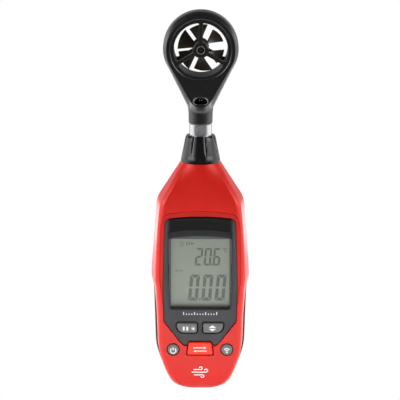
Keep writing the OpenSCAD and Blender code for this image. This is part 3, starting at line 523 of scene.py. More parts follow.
well = rounded(both([(4, 81.95, 0), (9, 81.65, 0), (15.2, 80.85, 2.6), (15.9, 66.1, 0), (16, 49, 0),
                     (14.4, 38.95, 1.6)]))
hold_cap = [(-10.7, 32.8, 1.1), (-1.4, 32.8, 1.0), (-1.4, 28, 1.0), (-10.7, 28, 3.4)]
hold_hole = rounded([(-11, 33.1, 1.3), (-1.1, 33.1, 1.2), (-1.1, 27.7, 1.2), (-11, 27.7, 3.6)])
top_holes = hold_hole, mirrored(hold_hole)
units_cap = both([(5.2, 23.6, 1.3), (6.1, 17.4, 0.8)])
units_hole = rounded(both([(5.85, 23.9, 1.4), (6.45, 17.1, 0.8)]))
KEY_X, KEY_Z, KEY_TOP = 12.4, 20.0, 14.17
TUBE_HOLE, INSERT_Z = 5.25, 84
BACK_INSIDE, GROOVE_Y, DOOR_INSIDE = 13.2, (12.05, 13.15), 12.2
CASE_POSTS = [(s * x, z) for s in (-1, 1) for x, z in ((11, 93.4), (9.3, 9.2))]
BOARD_POSTS = [(s * x, z) for s in (-1, 1) for x, z in ((14.4, 84), (15.4, 28.0))]

# Red front half with screw posts
work = shell(False)
join(work, *[rod(2.4, INSIDE - 0.2, 0, x, z) for x, z in CASE_POSTS])
join(work, *[rod(2.2, INSIDE - 0.2, -4.4, x, z) for x, z in BOARD_POSTS])
# Recess with a fine groove at its root, and the pocket of the bezel
cut(work, cutter(offset(recess, -0.45), FACE, RECESS + GROOVE, 0.9))
join(work, plate(offset(recess, -0.75), RECESS, RECESS + 0.8, 0.1))
cut(work, cutter(bezel_outline(0.28), FACE, POCKET, 0.2))
# Openings of the display and the keys
cut(work, box(-15.85, 15.85, FACE, INSIDE + 1, 36.45, 78.15))
cut(work, *[cutter(h, FACE, INSIDE + 1) for h in top_holes])
cut(work, cutter(units_hole, FACE, INSIDE + 1, 0.22))
cut(work, *[cutter(circle(s * KEY_X, KEY_Z, 2.95, 64), FACE, INSIDE + 1, 0.22) for s in (-1, 1)])
# Holes of the screws and the tube
cut(work, *[rod(1.05, INSIDE + 2, 1, x, z, 24) for x, z in CASE_POSTS],
    *[rod(0.95, INSIDE + 0.8, -3.4, x, z, 24) for x, z in BOARD_POSTS])
cut(work, drill(TUBE_HOLE, 97, 107.2))
publish(work, "red_front", RED, nodes=["front_shell"], angle=28)

# Black back half with a block for the bay, screw posts and ribs
work = shell(True)
join(work, box(-18.9, 18.9, 0, BACK_INSIDE, 21.2, 75.3))
join(work, *[rod(2.6, 0, 11.4 if z > 50 else BACK_INSIDE, x, z) for x, z in CASE_POSTS],
     rod(5.7, 5.8, BACK_INSIDE, 0, INSERT_Z))
join(work, *[box(s * 9.3 - 0.8, s * 9.3 + 0.8, 0.3, 11.7, 1, 9.2) for s in (-1, 1)])
# Battery bay, mouth of the door and its grooves
cut(work, plate(slab(16.4, 22.6, 73.9, 0.8, 0.8), 1, 16))
cut(work, cutter(slab(16.6, -4, 76.15, 0, 1.2), BACK, GROOVE_Y[0], 0.22, -1))
cut(work, box(-17.75, 17.75, *GROOVE_Y, -4, 74.45))
# Holes of the screws, the stand insert and the tube
cut(work, *[cutter(circle(x, z, 2.1), back_depth(z), 6.2, 0.25, -1) for x, z in CASE_POSTS])
cut(work, *[rod(1.15, -1, 7, x, z, 24) for x, z in CASE_POSTS])
cut(work, cutter(circle(0, INSERT_Z, 3.92, 64), BACK, 7, 0.25, -1))
cut(work, drill(TUBE_HOLE, 97, 107.2))
publish(work, "black_back", BLACK, nodes=["rear_shell"], angle=28)

# Sliding battery door with a grip and an arrow
work = solid(loft([section(z, True, 0, 0, True) for z in OUTER]))
combine(work, "INTERSECT", plate(slab(16.45, -2, 76, 0, 1.1), DOOR_INSIDE, BACK, 0, 0.3))
GRIP_ENDS = [(-7.6, 0.4), (-7.2, 0.8), (-6.6, 1.0), (6.6, 1.0), (7.2, 0.8), (7.6, 0.4)]
for k in range(5):
    z = 58 + 2.4 * k
    cut(work, loft([[(x, BACK + 0.5 + f * a, z + f * b) for a, b in compass(24)] for x, f in GRIP_ENDS]))
cut(work, cutter([(-3.2, 54.4), (3.2, 54.4), (0, 50.2)], BACK, 13.85, 0.15, -1))
join(work, *[box(*sorted((s * 15.6, s * 17.5)), DOOR_INSIDE, 13, 26, 74.3) for s in (-1, 1)])
publish(work, "door_leaf", BLACK, "door", ["battery_door"], 28)


# Bezel with its sloped well
LENS_BACK = -9.8


def polar(outline, n=240, z0=58.0):
    """Outline sampled on even angles about a point inside it."""
    p = np.array(outline) - (0, z0)
    out = []
    for d in np.array(compass(n)):
        best = 0
        for a, b in zip(p, np.roll(p, -1, 0)):
            e = b - a
            den = d[0] * e[1] - d[1] * e[0]
            if abs(den) < 1e-12:
                continue
            t = (a[0] * e[1] - a[1] * e[0]) / den
            u = (a[0] * d[1] - a[1] * d[0]) / den
            if t > best and -1e-9 <= u <= 1 + 1e-9:
                best = t
        out.append(d * best + (0, z0))
    return np.array(out)


work = solid(plate(bezel_outline(0), BEZEL_Y, POCKET, 0.3))
join(work, box(-15.7, 15.7, POCKET - 0.5, -9, 36.6, 78))
brim, seat = polar(well), polar(lens_outline(0.1))
levels = [(offset(brim, d), BEZEL_Y + y) for d, y in ((0.5, -1), (0.42, -0.01), (0.18, 0.1))]
levels += [(brim + (seat - brim) * f, BEZEL_Y + 0.3 + 1.9 * f) for f in (0.06, 0.3, 0.6, 0.9, 1)]
cut(work, stack(levels + [(seat, LENS_BACK)]))
cut(work, plate(slab(13.5, 39, 71.7, 1.3, 0.3), -11, -8))
cut(work, *[cutter(h, BEZEL_Y, -10, 0.4) for h in top_holes])
cut(work, cutter(units_hole, BEZEL_Y, -10, 0.35))
# Near-black colour for the holes round the keys: painted shade in the gaps between keys and bezel
KEY_GAP_SHADE = finish("key_gap_painted_shade", srgb(24, 24, 25), 0.4, 0.05, 0.08, 2400, 0.04, 90, Specular_IOR_Level=0.2)


def key_gap_shade_pick(c):
    """Painted shade: darker colour in the holes round the keys."""
    return int(c[1] > BEZEL_Y + 0.03 and c[2] < 34 and abs(c[0]) < 11.6)


publish(work, "bezel_mask", [BEZEL, KEY_GAP_SHADE], nodes=["bezel"], angle=28, pick=key_gap_shade_pick)

LENS = finish("lens_acrylic", (0.02, 0.02, 0.02), 0.06, 0.02, 0.02, 1500, 0.004, 60, Alpha=0.1, Coat_Weight=1)
work = plate(lens_outline(0), -11, LENS_BACK, 0.15, 0.1)
publish(work, "lens_window", LENS, nodes=["lens"])


# Printed mask behind the window and the figures of the display
# Display film, darkened to 0.3 towards the bottom of the window: painted shade under its lower lip
LCD = finish("lcd_film", srgb(160, 168, 155), 0.5, 0.05, 0.03, 900, 0.02, 40,
             painted_light=[("Z", 0.0386, 0.0408, 0.3, 1)])
MASK = finish("mask_print", srgb(34, 34, 35), 0.45, 0.05, 0.06, 2400, 0.04, 120)
STRIP = finish("strip_print", srgb(85, 88, 92), 0.5, 0.05, 0.05, 2400, 0.04, 120)
FRAME = finish("frame_print", srgb(92, 92, 95), 0.5, 0.05, 0.06, 2400, 0.04, 120)
FIGURE = finish("lcd_figure", srgb(112, 118, 110), 0.5, 0.05, 0.05, 2400, 0.02, 200)
PRINT_Y = (-9.92, -9.86)
brow = [(13.8 * k / 12, 73.05 - (k / 12) ** 2) for k in range(-12, 13)]
roof = rounded(both([(5, 75.9, 0), (14.3, 74.75, 1.0), (14.3, 72.05, 0)]))
band = brow + sorted([tuple(q) for q in roof if q[1] > 72.1], key=lambda q: -q[0])
publish(plate(band, *PRINT_Y), "window_band", MASK)
BORDER = [(14.0, 39.4, 45.99), (14.3, 46, 59.99), (14.6, 60, 71.6)]
border = [bar(s * 13.55, s * x, z0, z1) for s in (-1, 1) for x, z0, z1 in BORDER]
publish(merged(*[plate(f, *PRINT_Y) for f in border]), "window_frame", FRAME)
strip = brow[::-1] + [(-13.8, 71.7), (13.8, 71.7)]
publish(plate(strip, *PRINT_Y), "window_strip", STRIP)
SHAPES = {"0": "abcdef", "2": "abged", "6": "acdefg", "C": "adef"}


def digit(mark, x, z, w, h, t, lean=0.09, g=0.14):
    """Mitred segments of one figure whose foot corner is at x, z."""
    top = [(g, h), (w - g, h), (w - g - t, h - t), (g + t, h - t)]
    side = [(0, h - g), (t, h - g - t), (t, h / 2 + 2 * g), (0, h / 2 + 1.4 * g)]
    middle = [(g + t / 2, h / 2), (g + t, h / 2 + t / 2), (w - g - t, h / 2 + t / 2), (w - g - t / 2, h / 2),
              (w - g - t, h / 2 - t / 2), (g + t, h / 2 - t / 2)]
    lines = {"a": top, "d": [(p, h - q) for p, q in top], "g": middle,
             "f": side, "e": [(p, h - q) for p, q in side],
             "b": [(w - p, q) for p, q in side], "c": [(w - p, h - q) for p, q in side]}
    return [[(x + p + lean * q, z + q) for p, q in lines[name]] for name in SHAPES[mark]]


def ring(x, z, r, t, n=20):
    """Small quads round a circle."""
    way = [(2 * PI * (k + 0.01) / n, 2 * PI * (k + 0.99) / n) for k in range(n)]
    return [[(x + q * COS(a), z + q * SIN(a)) for q, a in ((r, a), (r, b), (r - t, b), (r - t, a))]
            for a, b in way]


figures = []
for mark, x in (("2", -2.6), ("0", 1.5), ("6", 5.6)):
    figures += digit(mark, x, 58.9, 3.3, 8.3, 0.95)
figures += [circle(5.25, 59.3, 0.35, 16)]
for x in (-5.25, 0.9, 7.05):
    figures += digit("0", x - 0.4, 42.2, 4.5, 12.4, 1.5, 0.09, 0.25)
figures += [[(-0.5, 42.2), (0.1, 42.2), (0.2, 43.2), (-0.4, 43.2)]]
figures += digit("C", 11.15, 65.2, 1.3, 1.9, 0.32, 0.05, 0.03)
figures += ring(10.6, 66.8, 0.4, 0.2, 12) + ring(-8.5, 69.3, 0.95, 0.26)
figures += [bar(x, x + 0.5, 68.6, 70.0) for x in (-6.4, -5.3)]
figures += [[(-4.2, 68.6), (-2.8, 69.3), (-4.2, 70.0)]]
for x in (-11.3, -10.2, -8.9):
    figures += [[(x, 56.0), (x + 0.45, 56.0), (x + 0.55, 56.9), (x + 0.1, 56.9)]]
publish(merged(*[plate(f, -8.93, -8.9) for f in figures]), "lcd_segments", FIGURE)


# Keys with a flange and a stem
FLANGE_Y, STEM_Y = (-10.3, -9.5), (-10.1, -6.45)


def key(name, outline, flange, x, z, material, body, node, slot):
    """Cap with a rounded top on a flange, and its stem at x, z."""
    levels = [(inset(outline, 0.1 + i), -KEY_TOP + d) for i, d in arc(0.7)]
    work = solid(stack(levels + [(inset(outline, 0), -10.2)]))
    join(work, plate(flange, *FLANGE_Y, 0.15, 0.15))
    join(work, rod(1.3, *STEM_Y, x, z, 32, 0.15))
    publish(work, name, material, body, [node])


flange = pill(-11.4, -0.7, 33.5, 27.3, 1)
key("hold_cap", hold_cap, flange, -6.05, 30.4, KEY, "hold_key", "key_hold", "grey_key")
range_cap = [(-x, z, r) for x, z, r in hold_cap[::-1]]
key("range_cap", range_cap, mirrored(flange), 6.05, 30.4, KEY, "max_min_key", "key_max_min", "grey_key")
flange = pill(-6.8, 6.8, 24.3, 16.7, 1)
key("units_cap", units_cap, flange, 0, 20.5, RED_KEY, "units_key", "key_units", "red_key")
for x, name in ((-KEY_X, "power"), (KEY_X, "wireless")):
    cap = [(a, b, 0) for a, b in circle(x, KEY_Z, 2.65, 64)]
    flange = circle(x, KEY_Z, 3.35, 64)
    key(name + "_cap", cap, flange, x, KEY_Z, KEY, name + "_key", "key_" + name, "grey_key")

# Neck: fluted collar, metal tube and sleeve
collar_edge = curve([(106.25, 9.0), (106.9, 8.98), (110, 8.4), (114, 7.62), (117.2, 6.97), (117.7, 6.84),
                     (118.1, 6.62), (118.4, 6.4), (118.6, 6.1)])
COLLAR_STEPS = [106.25, 106.35, *np.arange(106.6, 117.6, 0.3), 117.7, 117.9, 118.1, 118.3, 118.45, 118.6]
COLLAR_SIDES, FLUTES, FLUTE_FOOT, FLUTE_SOFT = 480, 8, 108.9, 0.1


def fluted(a, z):
    """Radius of the collar at an angle and height, with a soft edge at each flute."""
    r = collar_edge(z)
    near = min(abs((a - math.radians(45 * j - 72.5) + PI) % (2 * PI) - PI) for j in range(FLUTES))
    axis = 9.4 - (z - 110.0) * 0.306
    room = 1.0 - (axis * SIN(near)) ** 2
    if z <= FLUTE_FOOT or room <= 0:
        return r
    cut = axis * COS(near) - math.sqrt(room)
    h = max(0.0, min(1.0, 0.5 + (r - cut) / (2 * FLUTE_SOFT)))
    return r + (cut - r) * h - FLUTE_SOFT * h * (1 - h)


turns = [2 * PI * k / COLLAR_SIDES for k in range(COLLAR_SIDES)]
rows = []
for z in COLLAR_STEPS:
    rows.append([(r * COS(a), r * SIN(a), z) for a, r in [(a, fluted(a, z)) for a in turns]])
work = solid(loft(rows))
cut(work, lathe([(0.001, 105), (TUBE_HOLE, 105), (TUBE_HOLE, 118.2), (5.5, 120), (0.001, 120)]))
publish(work, "fluted_collar", GLOSS, nodes=["collar"], angle=40)
tube_profile = [(2.6, 95.8), (6.6, 95.8), (6.6, 97.95), (5.2, 97.95), (5.2, 123.7), (5.05, 123.85),
                (4, 123.85), (4, 131.1), (3.8, 131.3), (2.6, 131.3)]
publish(lathe(tube_profile, 128), "metal_tube", STEEL, nodes=["neck_tube"])
sleeve_profile = [(4.03, 123.87), (5.0, 123.87), (5.25, 123.95), (5.42, 124.12), (5.5, 124.4), (5.5, 126),
                  (5.55, 129.28), (4.03, 129.28)]
publish(lathe(sleeve_profile, 128), "head_sleeve", HEAD, nodes=["neck_sleeve"])

# Vane head in two halves round the duct, whose axis is at height HZ
HZ = 158.5
HALF_DEPTH, NECK_R, NECK_TOP, NECK_BLEND = 8.0, 5.6, 129.3, 4.6
HEAD_SIDES = 432


def teardrop(r, corner):
    """Circle about the duct with straight flanks down to a corner."""
    x, z, fillet, foot = corner
    d = math.hypot(x, HZ - z)
    a = math.atan2(z - HZ, x) + math.acos(r / d)
    turns = [a + (PI - 2 * a) * k / 90 for k in range(91)]
    top = [(r * COS(t), HZ + r * SIN(t), 0) for t in turns]
    end = [(-x, z, fillet), (-x, foot, 0), (x, foot, 0), (x, z, fillet)]
    return rounded(top + end)


def two_circles(r, q, z):
    """Outline round the duct circle and a small circle below it."""
    a = math.asin((r - q) / (HZ - z))
    top = [-a + (PI + 2 * a) * k / 90 for k in range(91)]
    low = [PI + a + (PI - 2 * a) * k / 24 for k in range(25)]
    return [(r * COS(t), HZ + r * SIN(t)) for t in top] + [(q * COS(t), z + q * SIN(t)) for t in low]


rim_line = polar(teardrop(17.1, (NECK_R, 131.2, 4.5, NECK_TOP)), HEAD_SIDES, HZ)
face_line = polar(two_circles(15.6, 5.3, 137.7), HEAD_SIDES, HZ)


def head_half(s):
    """Front (s = -1) or back (s = 1) half of the head."""
    rows = []
    for k, d in enumerate(compass(HEAD_SIDES)):
        rim = float(np.linalg.norm(rim_line[k] - (0, HZ)))
        face = float(np.linalg.norm(face_line[k] - (0, HZ)))
        x, z = rim_line[k]
        f = min(max((z - NECK_TOP) / NECK_BLEND, 0), 1)
        f = f * f * (3 - 2 * f)
        side = 3.0 * f + (1 - f) * math.sqrt(max(NECK_R ** 2 - min(abs(x), NECK_R) ** 2, 0.02))
        wide, deep = rim - face, HALF_DEPTH - side
        line = [(13.75, 0), (13.75, 7.5), (13.82, 7.78), (14.02, 7.95), (14.25, HALF_DEPTH),
                ((14.25 + face) / 2, HALF_DEPTH), (face - 0.12, HALF_DEPTH)]
        for j in range(13):
            t = j / 12
            e = PI / 6 + PI / 3 * t
            bulge = np.array([face + wide * (SIN(e) - 0.5) / 0.5, side + deep * COS(e) / COS(PI / 6)])
            neck = np.array([face + wide * t, side + deep * (1 - t) ** 1.5])
            line.append(tuple(bulge * f + neck * (1 - f)))
        line += [(rim, 0.12), (rim - 0.12, 0)]
        rows.append([(r * d[0], s * y, HZ + r * d[1]) for r, y in line])
    work = solid(wrapped(rows))
    cut(work, drill(4.03, 128, 131.4, 64))
    cut(work, box(-3.3, 3.3, -3.4, 3.4, 131.3, 146))
    return work


oval = pill(-3.5, 3.5, 133.45, 136.95, 1.749, 16)
HEAD_SCREWS = [(-6.4, 141.2), (6.4, 141.2)]
work = head_half(-1)
cut(work, cutter(oval, -HALF_DEPTH, -3, 0.3))
cut(work, *[rod(0.85, -6, 1, x, z, 24) for x, z in HEAD_SCREWS])
publish(work, "head_front_half", HEAD, nodes=["head_front"], angle=35)
GUARD_OUT = [(0.3, -7.8), (0.12, -7.74), (0.03, -7.55), (0.02, -5.4)]
GUARD_IN = [(0.28, -7.9), (0.34, -7.79), (0.5, -7.66), (0.62, -7.4), (0.66, -7), (0.66, -5)]
work = solid(stack([(offset(oval, -d), y) for d, y in GUARD_OUT]))
cut(work, stack([(offset(oval, -d), y) for d, y in GUARD_IN]))
# Light grey guard ring whose middle is darkened almost to black, leaving painted glints at the left and right
# of the oval
PAINTED_GLINT = finish("guard_painted_glint", srgb(170, 170, 170), 0.2, 0.05, 0.1, 1500, 0.02, 60,
               painted_light=[("X", 0.0012, 0.0026, 0.08, 0.8)])
publish(work, "oval_guard", PAINTED_GLINT, angle=40)
work = head_half(1)
cut(work, *[cutter(circle(x, z, 1.75), HALF_DEPTH, 4, 0.25, -1) for x, z in HEAD_SCREWS])
cut(work, *[rod(0.95, -1, 5, x, z, 24) for x, z in HEAD_SCREWS])
publish(work, "head_rear_half", HEAD, nodes=["head_rear"], angle=35)


# Duct rings with three spokes and a hub
def spider(s):
    """Front (s = -1) or back (s = 1) ring, hub and spokes."""
    edge = 7.8
    line = [(12.2, 0), (12.2, edge - 0.35), (12.28, edge - 0.12), (12.5, edge), (13.4, edge),
            (13.6, edge - 0.1), (13.7, edge - 0.35), (13.7, 0)]
    work = solid(spun([(r, s * h) for r, h in line], 144))
    rounds = (0.45, 0.2) if s < 0 else (0.2, 0.45)
    join(work, plate(circle(0, HZ, 3.7, 72), *sorted((s * edge, s * (edge - 2.4))), *rounds))
    half = [(2.6, 1.15), (3.7, 1.0), (4.1, 0.9), (4.6, 0.85), (11.2, 0.85), (11.6, 0.9), (11.9, 1.02),
            (12.15, 1.3), (12.35, 1.8), (12.9, 2.4)]
    for k in range(3):
        a = PI / 2 + 2 * PI / 3 * k
        u, v = np.array([COS(a), SIN(a)]), np.array([-SIN(a), COS(a)])
        line = [u * r - v * w for r, w in half] + [u * r + v * w for r, w in reversed(half)]
        depth = sorted((s * (edge - 0.05), s * (edge - 1.85)))
        join(work, plate(np.array(line) + (0, HZ), *depth, 0.3, 0.3))
    cut(work, spun([(0.001, -9), (1.92, -9), (1.92, 9), (0.001, 9)], 64))
    cut(work, drill(1.3, 142, 146.11, 48))
    return work


def duct_skin(c):
    """Duct finish on the inside of a ring."""
    return int(math.hypot(c[0], c[2] - HZ) > 11.9 and abs(c[1]) < 7.3)


def cup_skin(c):
    """Dark finish in the cup of a bush."""
    return int(math.hypot(c[0], c[2] - HZ) < 1.57 and abs(c[1]) > 5.2)


bush = [(0.63, 5.15), (1.9, 5.15), (1.9, 7.66), (1.86, 7.76), (1.76, 7.8), (1.64, 7.74), (1.58, 7.6),
        (1.54, 6.9), (1.4, 6.75), (0.63, 6.7)]
CUP = finish("bush_cup", srgb(34, 24, 20), 0.4, 0.08, 0.15, 2500, 0.06, 300, Metallic=0.3)
for s, name in ((-1, "front"), (1, "rear")):
    publish(spider(s), name + "_ring", [HEAD, DUCT], nodes=[name + "_spider"], angle=40,
            pick=duct_skin)
    publish(spun([(r, s * h) for r, h in bush], 72), name + "_bush", [BRONZE, CUP],
            nodes=[name + "_bearing"], pick=cup_skin)


# Impeller with six helical blades
BLADE_ROWS, BLADE_COLS, BLADE_ROOT, REST_TURN = 28, 9, 2.7, 54


def blade(k):
    """Blade k, thicker at its root and rounded at both edges."""
    out = []
    for i in range(BLADE_ROWS + 1):
        f = i / BLADE_ROWS
        y = -4.3 + 8.6 * f
        lip = min(1.0, 0.4 + 0.6 * math.sqrt(min(f, 1 - f) * 14))
        row = []
        for side in (1, -1):
            for j in range(BLADE_COLS + 1)[::side]:
                r = BLADE_ROOT + 7.8 * j / BLADE_COLS
                turn = PI / 3 - 2.5 / r
                thick = 0.7 * (1 - 0.35 * j / BLADE_COLS) + 0.25 * math.exp(-(r - BLADE_ROOT) / 0.5)
                a = math.radians(REST_TURN + 60 * k) + turn * (f - 0.5) + side * thick * lip / 2 / r
                row.append((r * SIN(a), y, HZ + r * COS(a)))
        out.append(row)
    return loft(out)


rotor = [(0.62, -4.8), (0.8, -5), (2.3, -5), (2.75, -4.92), (3.05, -4.7), (3.2, -4.3)]
rotor += [(r, -y) for r, y in reversed(rotor)]
work = solid(spun(rotor, 96))
for k in range(6):
    join(work, blade(k))
publish(work, "vane_wheel", VANE, "vane", ["impeller"], 42)

# Battery cells, coil springs and tripod insert
CELL_LENGTH, CELL_PITCH, CELL_Y, LOW_CELL, MID_CELL = 44.5, 11, 6.45, 28.1, 24.0
cell_line = [(0.001, 0.0), (3.6, 0.0), (3.8, 0.12), (4.75, 0.12), (5.05, 0.25), (5.22, 0.55), (5.25, 0.9),
             (5.25, 42.6), (5.22, 42.95), (5.05, 43.25), (4.6, 43.42), (2.6, 43.42), (2.3, 43.3), (1.9, 43.3),
             (1.9, 44.25), (1.8, 44.42), (1.6, CELL_LENGTH), (0.001, CELL_LENGTH)]


def cell(x, z0, up):
    """Cell that stands on z0, nub up or down."""
    line = [(r, z0 + (h if up else CELL_LENGTH - h)) for r, h in cell_line]
    return lathe(line, 64, x, CELL_Y)


SLEEVE = finish("cell_sleeve", srgb(34, 52, 78), 0.3, 0.05, 0.06, 1200, 0.02, 60, Coat_Weight=0.3)
BAND = finish("cell_band", srgb(196, 150, 92), 0.32, 0.05, 0.06, 1200, 0.02, 60, Metallic=0.7)


def cell_skin(c):
    """Sleeve, band at the nub end or bare metal, by the place of a face."""
    k = round(c[0] / CELL_PITCH)
    h = c[2] - LOW_CELL if k else MID_CELL + CELL_LENGTH - c[2]
    r = math.hypot(c[0] - CELL_PITCH * k, c[1] - CELL_Y)
    if r < 4.9 or h > 43.2 or h < 0.3:
        return 2
    return 1 if h > 33 else 0


cells = [cell(-CELL_PITCH, LOW_CELL, True), cell(0, MID_CELL, False), cell(CELL_PITCH, LOW_CELL, True)]
publish(merged(*cells), "cell_pack", [SLEEVE, BAND, TIN], nodes=["battery_cells"],
        angle=40, pick=cell_skin)
COIL_STEPS, COIL_TURNS, COIL_LENGTH = 150, 3.5, 5


def coil(x, z0, up):
    """Tapered spring that stands on z0, narrow end up or down."""
    path = []
    for i in range(COIL_STEPS + 1):
        f = i / COIL_STEPS
        a, r, h = 2 * PI * COIL_TURNS * f, 3.6 - 1.1 * f, 0.35 + 4.3 * f
        y = CELL_Y + (1 if up else -1) * r * SIN(a)
        path.append((x + r * COS(a), y, z0 + (h if up else COIL_LENGTH - h)))
    return tube(path, 0.34)


coils = [coil(-CELL_PITCH, 23.0, True), coil(0, 68.5, False), coil(CELL_PITCH, 23.0, True)]
publish(merged(*coils), "contact_coils", TIN, nodes=["battery_springs"], angle=50)
THREAD_PITCH, THREAD_STEPS, INSERT_SIDES = 1.27, 56, 96
INSERT_LINE = [(14.0, 3.6), (13.95, 3.72), (13.8, 3.85), (13.0, 3.88), (12.9, 3.6), (12.3, 3.6), (12.2, 3.88),
               (9.6, 3.88), (9.5, 3.6), (8.9, 3.6), (8.8, 3.88), (7.3, 3.88), (7.05, 3.6)]


def thread(y, k):
    """Radius of the thread at a depth and a side."""
    wave = abs(((y / THREAD_PITCH + k / INSERT_SIDES) % 1) * 2 - 1)
    return 2.56 + 0.5 * min(1.0, wave * 1.3) * min(1.0, (14.02 - y) / 0.25 + 0.3)


levels = [7.05 + 6.95 * i / THREAD_STEPS for i in range(THREAD_STEPS + 1)]
rows = [[(thread(y, k), y) for k in range(INSERT_SIDES)] for y in levels]
rows += [[(r - (0.12 if r > 3.8 and k % 2 else 0), y) for k in range(INSERT_SIDES)] for y, r in INSERT_LINE]
rows = [[(r * a, y, INSERT_Z + r * b) for (r, y), (a, b) in zip(row, compass(INSERT_SIDES))] for row in rows]
publish(wrapped(rows), "thread_insert", BRASS, nodes=["tripod_insert"], angle=40)

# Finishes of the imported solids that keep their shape
KEPT = {"lcd_panel": LCD, "backlight_panel": GUIDE, "zebra_strip": PINK, "keypad_mat": MAT,
        "dome_switches": TIN, "pcb": BOARD, "controller_chip": RESIN, "radio_module": TIN,
        "lead_socket": IVORY, "sensor_lead": JACKET, "vane_shaft": SCREW, "pickup_sensor": RESIN,
        "thermistor": BEAD, "case_screws": SCREW, "board_screws": SCREW, "head_screws": SCREW,
        "contact_plates": TIN}
for name, mat in KEPT.items():
    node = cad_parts[name]
    node.data.materials.clear()
    node.data.materials.append(mat)
    mod = node.modifiers.new("soft_edge", "BEVEL")
    mod.width = 0.00008
    mod.segments = 2
    mod.limit_method = "ANGLE"
    mod.angle_limit = math.radians(40)


# White marks on the keys and the faces
def stroke(points, w):
    """Outline of a line of even width through points."""
    p = np.array(points, float)
    t = np.gradient(p, axis=0)
    t /= np.linalg.norm(t, axis=1)[:, None]
    n = np.stack([-t[:, 1], t[:, 0]], 1) * w / 2
    return np.concatenate([p + n, (p - n)[::-1]])


def bow(x, z, r, a, b, n=24):
    """Points on a circle from angle a to angle b in degrees."""
    turns = [math.radians(a + (b - a) * k / n) for k in range(n + 1)]
    return [(x + r * COS(t), z + r * SIN(t)) for t in turns]


def marks(name, shapes, face, body):
    """Thin print on a face given as a depth or as a function of height."""
    depth = face if callable(face) else lambda z: face
    parts = [loft([[(x, -depth(z) + d, z) for x, z in s] for d in (-0.02, 0.06)]) for s in shapes]
    publish(merged(*parts), name, PRINT, body, angle=60)


sun = [circle(-3.1, 30.2, 0.42, 20)]
for a, b in compass(8):
    sun.append(stroke([(-3.1 + r * a, 30.2 + r * b) for r in (0.62, 0.8, 0.98)], 0.26))
marks("hold_mark", [bar(-7.9, -7.1, 29.3, 31.1), bar(-6.3, -5.5, 29.3, 31.1)] + sun, KEY_TOP, "hold_key")
up = [(4, 30.65), (7.4, 30.65), (5.7, 31.85)]
down = [(4, 30.15), (5.7, 28.95), (7.4, 30.15)]
marks("range_mark", [up, down], KEY_TOP, "max_min_key")
arrows = [bar(-3.1, 1.9, 20.8, 21.15), [(1.7, 20.4), (3.1, 20.97), (1.7, 21.55)]]
arrows += [bar(-1.9, 3.1, 19.25, 19.6), [(-1.7, 18.85), (-1.7, 20.0), (-3.1, 19.42)]]
marks("units_mark", arrows, KEY_TOP, "units_key")
power = [stroke(bow(-KEY_X, 19.6, 1.25, 128, 412), 0.46), bar(-KEY_X - 0.22, -KEY_X + 0.22, 19.7, 21.15)]
marks("power_mark", power, KEY_TOP, "power_key")
waves = [stroke(bow(KEY_X, 18.9, r, 45, 135), 0.4) for r in (1.05, 1.8)]
marks("wireless_mark", [circle(KEY_X, 18.9, 0.42, 20)] + waves, KEY_TOP, "wireless_key")


def gust(left, middle, end, z, r, way):
    """Wind line at height z with its end curled up or down."""
    curl = bow(end, z + way * r, r, -80 * way, 170 * way, 14)
    return stroke([(left, z), (middle, z), (end, z)] + curl, 0.5)


GUSTS = [(-3.8, -0.2, 2.8, 9.0, 0.75, 1), (-3.0, -0.7, 0.4, 10.3, 0.65, 1),
         (-2.8, -0.2, 1.2, 7.7, 0.65, -1)]
marks("wind_mark", [gust(*g) for g in GUSTS], front_depth, "handle")
scale = []
for k in range(13):
    x = -7.6 + 1.27 * k
    scale.append(bar(x - 0.17, x + 0.17, 36.5, 37.2 if k % 4 else 37.9))
marks("scale_mark", scale, -BEZEL_Y, "handle")


# Studio
def emitter(name, size, place, aim, power, mirrored_too=True):
    """Large soft lamp that faces a point."""
    lamp = bpy.data.lights.new(name, "AREA")
    lamp.shape, lamp.size, lamp.size_y = "RECTANGLE", *size
    lamp.energy = power
    obj = bpy.data.objects.new(name, lamp)
    scene.collection.objects.link(obj)
    obj.location = place
    obj.visible_glossy = mirrored_too
    obj.visible_camera = False
    way = np.array(aim, float) - np.array(place, float)
    obj.rotation_euler = Vector(way).to_track_quat("-Z", "Y").to_euler()


def choose(nt, factor, a, b):
    """Shader a where the factor is 0 and b where it is 1."""
    n = nt.nodes.new("ShaderNodeMixShader")
    nt.links.new(factor, n.inputs["Fac"])
    nt.links.new(a.outputs[0], n.inputs[1])
    nt.links.new(b.outputs[0], n.inputs[2])
    return n


def by_ray(nt, lit, gloss, seen):
    """One shader for light, one for mirror rays and one for what the camera sees."""
    rays = nt.nodes.new("ShaderNodeLightPath")
    direct = calc(nt, "MAXIMUM", rays.outputs["Is Camera Ray"], rays.outputs["Is Transmission Ray"])
    return choose(nt, direct, choose(nt, rays.outputs["Is Glossy Ray"], lit, gloss), seen)


def glow(nt, kind, strength):
    """White light of a fixed strength or of one that a socket gives."""
    n = fill(nt.nodes.new(kind), Color=(1, 1, 1, 1))
    if isinstance(strength, float):
        fill(n, Strength=strength)
    else:
        nt.links.new(strength, n.inputs["Strength"])
    return n


world = bpy.data.worlds.new("studio")
world.use_nodes = True
scene.world = world
nt = world.node_tree
nt.nodes.clear()
x, y, z = split(nt, "Generated")
across = calc(nt, "ABSOLUTE", x)
dim = calc(nt, "MULTIPLY", span(nt, y, -0.75, -0.25, 0.07, 0.65), span(nt, z, 0.04, 0.42, 1.0, 0.12))
boxes = calc(nt, "MULTIPLY", span(nt, across, 0.5, 0.75, 0.0, 7.0), span(nt, z, 0.08, 0.24, 0.0, 1.0),
             span(nt, y, -0.3, 0.0, 1.0, 0.0))
gloss = glow(nt, "ShaderNodeBackground", calc(nt, "ADD", dim, boxes))
lit = glow(nt, "ShaderNodeBackground", 0.29)
both_rays = by_ray(nt, lit, gloss, glow(nt, "ShaderNodeBackground", 1.0))
nt.links.new(both_rays.outputs[0], nt.nodes.new("ShaderNodeOutputWorld").inputs["Surface"])

